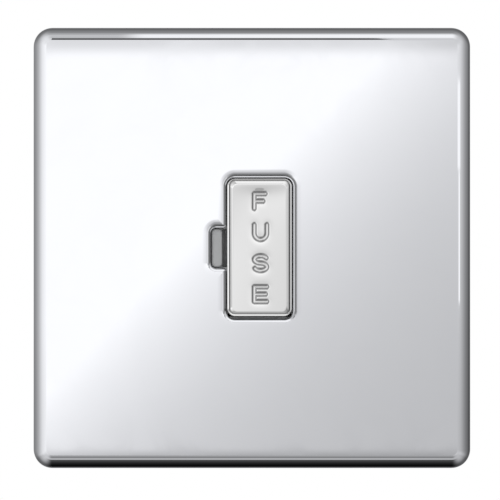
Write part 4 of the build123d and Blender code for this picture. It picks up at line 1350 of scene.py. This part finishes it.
def make_screw(name, head, cutters, recess_depth, shank_parts):
    """Cuts the recess into the head, joins the shank to it, and returns the mesh."""
    turned_head = mesh_object(name, *head)
    close_shell(turned_head.data)
    for cutter in cutters:
        cut = turned_head.modifiers.new("recess", "BOOLEAN")
        cut.object = cutter
        cut.solver = "EXACT"
    shape = turned_head.evaluated_get(bpy.context.evaluated_depsgraph_get())
    mesh = bpy.data.meshes.new_from_object(shape)
    for made in [turned_head, *cutters]:
        bpy.data.objects.remove(made)
    close_shell(mesh)
    head_points = len(mesh.vertices)
    whole = bmesh.new()
    whole.from_mesh(mesh)
    for points, faces in shank_parts:
        part = bpy.data.meshes.new("shank_part")
        part.from_pydata(points, [], faces)
        close_shell(part)
        whole.from_mesh(part)
    whole.to_mesh(mesh)
    whole.free()
    recess_shading = mesh.attributes.new(SHADE_MASK, "FLOAT", "POINT")
    for point in mesh.vertices[:head_points]:
        on_floor = abs(abs(point.co.y) - recess_depth * MM) < RECESS_SLACK
        recess_shading.data[point.index].value = RECESS_SHADE * on_floor
    mesh.polygons.foreach_set("use_smooth", [True] * len(mesh.polygons))
    mesh.set_sharp_from_angle(angle=SHARP_ANGLE)
    mesh.materials.append(finishes["plated_steel"])
    return mesh


def place_screw(mesh, node, body, toward):
    """Puts a screw where its solid is, and lets it ride on a body."""
    low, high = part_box(node)
    screw = bpy.data.objects.new(node + "_turned", mesh)
    screw.location = ((low.x + high.x) / 2, high.y if toward > 0 else low.y, (low.z + high.z) / 2)
    scene.collection.objects.link(screw)
    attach(screw, body)
    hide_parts(node)


print("screw helpers: make_screw, place_screw")

# %% [markdown]
# The clamp screws have a wide slot for a flat blade, and their heads look to the back of the unit. They
# are backed out, so that the wires can go in, and each one rides on its own body, so that it can be
# tightened.

# %% Screws: the six clamp screws
CLAMP_RADIUS, CLAMP_ROOT, CLAMP_PITCH = 2.0, 1.6, 0.7
CLAMP_THREAD = (CLAMP_RADIUS, CLAMP_ROOT, CLAMP_PITCH)
CLAMP_HEAD_RADIUS, CLAMP_HEAD, CLAMP_ROUND, CLAMP_CROWN = 2.8, 2.0, 0.4, 0.12
CLAMP_SLOT_DEPTH = 0.9
CLAMP_SLOT = (6.4, 0.8, CLAMP_SLOT_DEPTH, 1.0)

clamp_length = screw_length("live_supply_screw")
clamp_thread_end = clamp_length - SCREW_TIP
clamp_mesh = make_screw(
    "clamp_screw",
    turned(head_form(CLAMP_HEAD_RADIUS, CLAMP_HEAD, CLAMP_ROUND, CLAMP_CROWN), HEAD_TO_WALL),
    [recess_cutter(*CLAMP_SLOT, HEAD_TO_WALL)],
    CLAMP_SLOT_DEPTH,
    [
        turned(shank_form(CLAMP_ROOT, CLAMP_HEAD - SHANK_OVERLAP, clamp_length), HEAD_TO_WALL),
        threaded(*CLAMP_THREAD, CLAMP_HEAD, clamp_thread_end, HEAD_TO_WALL),
    ],
)
clamp_nodes = [f"{line}_{side}" for line in ("neutral", "live", "earth") for side in ("supply", "load")]
for line_side in clamp_nodes:
    place_screw(clamp_mesh, line_side + "_screw", line_side + "_clamp_screw", HEAD_TO_WALL)
print("clamp screws", len(clamp_nodes), "with faces", len(clamp_mesh.polygons))

# %% [markdown]
# The housing screws have a cross recess of two bars at right angles. Their shanks are hidden in the
# mouldings all the way, so they have no thread.

# %% Screws: the two housing screws
HOUSING_SHANK = 1.25
HOUSING_HEAD_RADIUS, HOUSING_HEAD, HOUSING_ROUND, HOUSING_CROWN = 2.5, 1.8, 0.4, 0.15
CROSS_DEPTH = 1.0
CROSS = (3.2, 0.8, CROSS_DEPTH, 0.7)


def cross_cutters(toward):
    """Two bars at right angles, for a cross recess."""
    arms = [recess_cutter(*CROSS, toward) for arm in range(2)]
    arms[1].rotation_euler = (0, math.pi / 2, 0)
    return arms


housing_length = screw_length("housing_screw_left")
housing_mesh = make_screw(
    "housing_screw",
    turned(head_form(HOUSING_HEAD_RADIUS, HOUSING_HEAD, HOUSING_ROUND, HOUSING_CROWN), HEAD_TO_WALL),
    cross_cutters(HEAD_TO_WALL),
    CROSS_DEPTH,
    [turned(shank_form(HOUSING_SHANK, HOUSING_HEAD - SHANK_OVERLAP, housing_length), HEAD_TO_WALL)],
)
for side in ("left", "right"):
    place_screw(housing_mesh, "housing_screw_" + side, "module", HEAD_TO_WALL)
print("housing screws with faces", len(housing_mesh.polygons))

# %% [markdown]
# The wall-box screws are put in from the room, so their heads look the other way. A plain neck passes
# through the mounting frame, and the thread begins after it.

# %% Screws: the two wall-box screws
FIXING_RADIUS, FIXING_ROOT, FIXING_PITCH = 1.75, 1.42, 0.6
FIXING_THREAD = (FIXING_RADIUS, FIXING_ROOT, FIXING_PITCH)
FIXING_HEAD_RADIUS, FIXING_HEAD, FIXING_ROUND, FIXING_CROWN = 3.4, 1.9, 0.8, 0.2
FIXING_NECK_RADIUS, FIXING_NECK_END, FIXING_NECK_TAPER = 1.5, 3.3, 0.1

fixing_length = screw_length("fixing_screw_left")
fixing_thread_end = fixing_length - SCREW_TIP
fixing_neck = [
    (FIXING_NECK_RADIUS, FIXING_HEAD - SHANK_OVERLAP),
    (FIXING_NECK_RADIUS, FIXING_NECK_END),
]
fixing_shank = shank_form(FIXING_ROOT, FIXING_NECK_END + FIXING_NECK_TAPER, fixing_length)
fixing_mesh = make_screw(
    "fixing_screw",
    turned(head_form(FIXING_HEAD_RADIUS, FIXING_HEAD, FIXING_ROUND, FIXING_CROWN), HEAD_TO_ROOM),
    cross_cutters(HEAD_TO_ROOM),
    CROSS_DEPTH,
    [
        turned(fixing_neck + fixing_shank, HEAD_TO_ROOM),
        threaded(*FIXING_THREAD, FIXING_NECK_END, fixing_thread_end, HEAD_TO_ROOM),
    ],
)
for side in ("left", "right"):
    place_screw(fixing_mesh, "fixing_screw_" + side, "module", HEAD_TO_ROOM)
print("fixing screws with faces", len(fixing_mesh.polygons))

# %% [markdown]
# The last cell brings the scene up to date.

# %% Bring the scene up to date
bpy.context.view_layer.update()
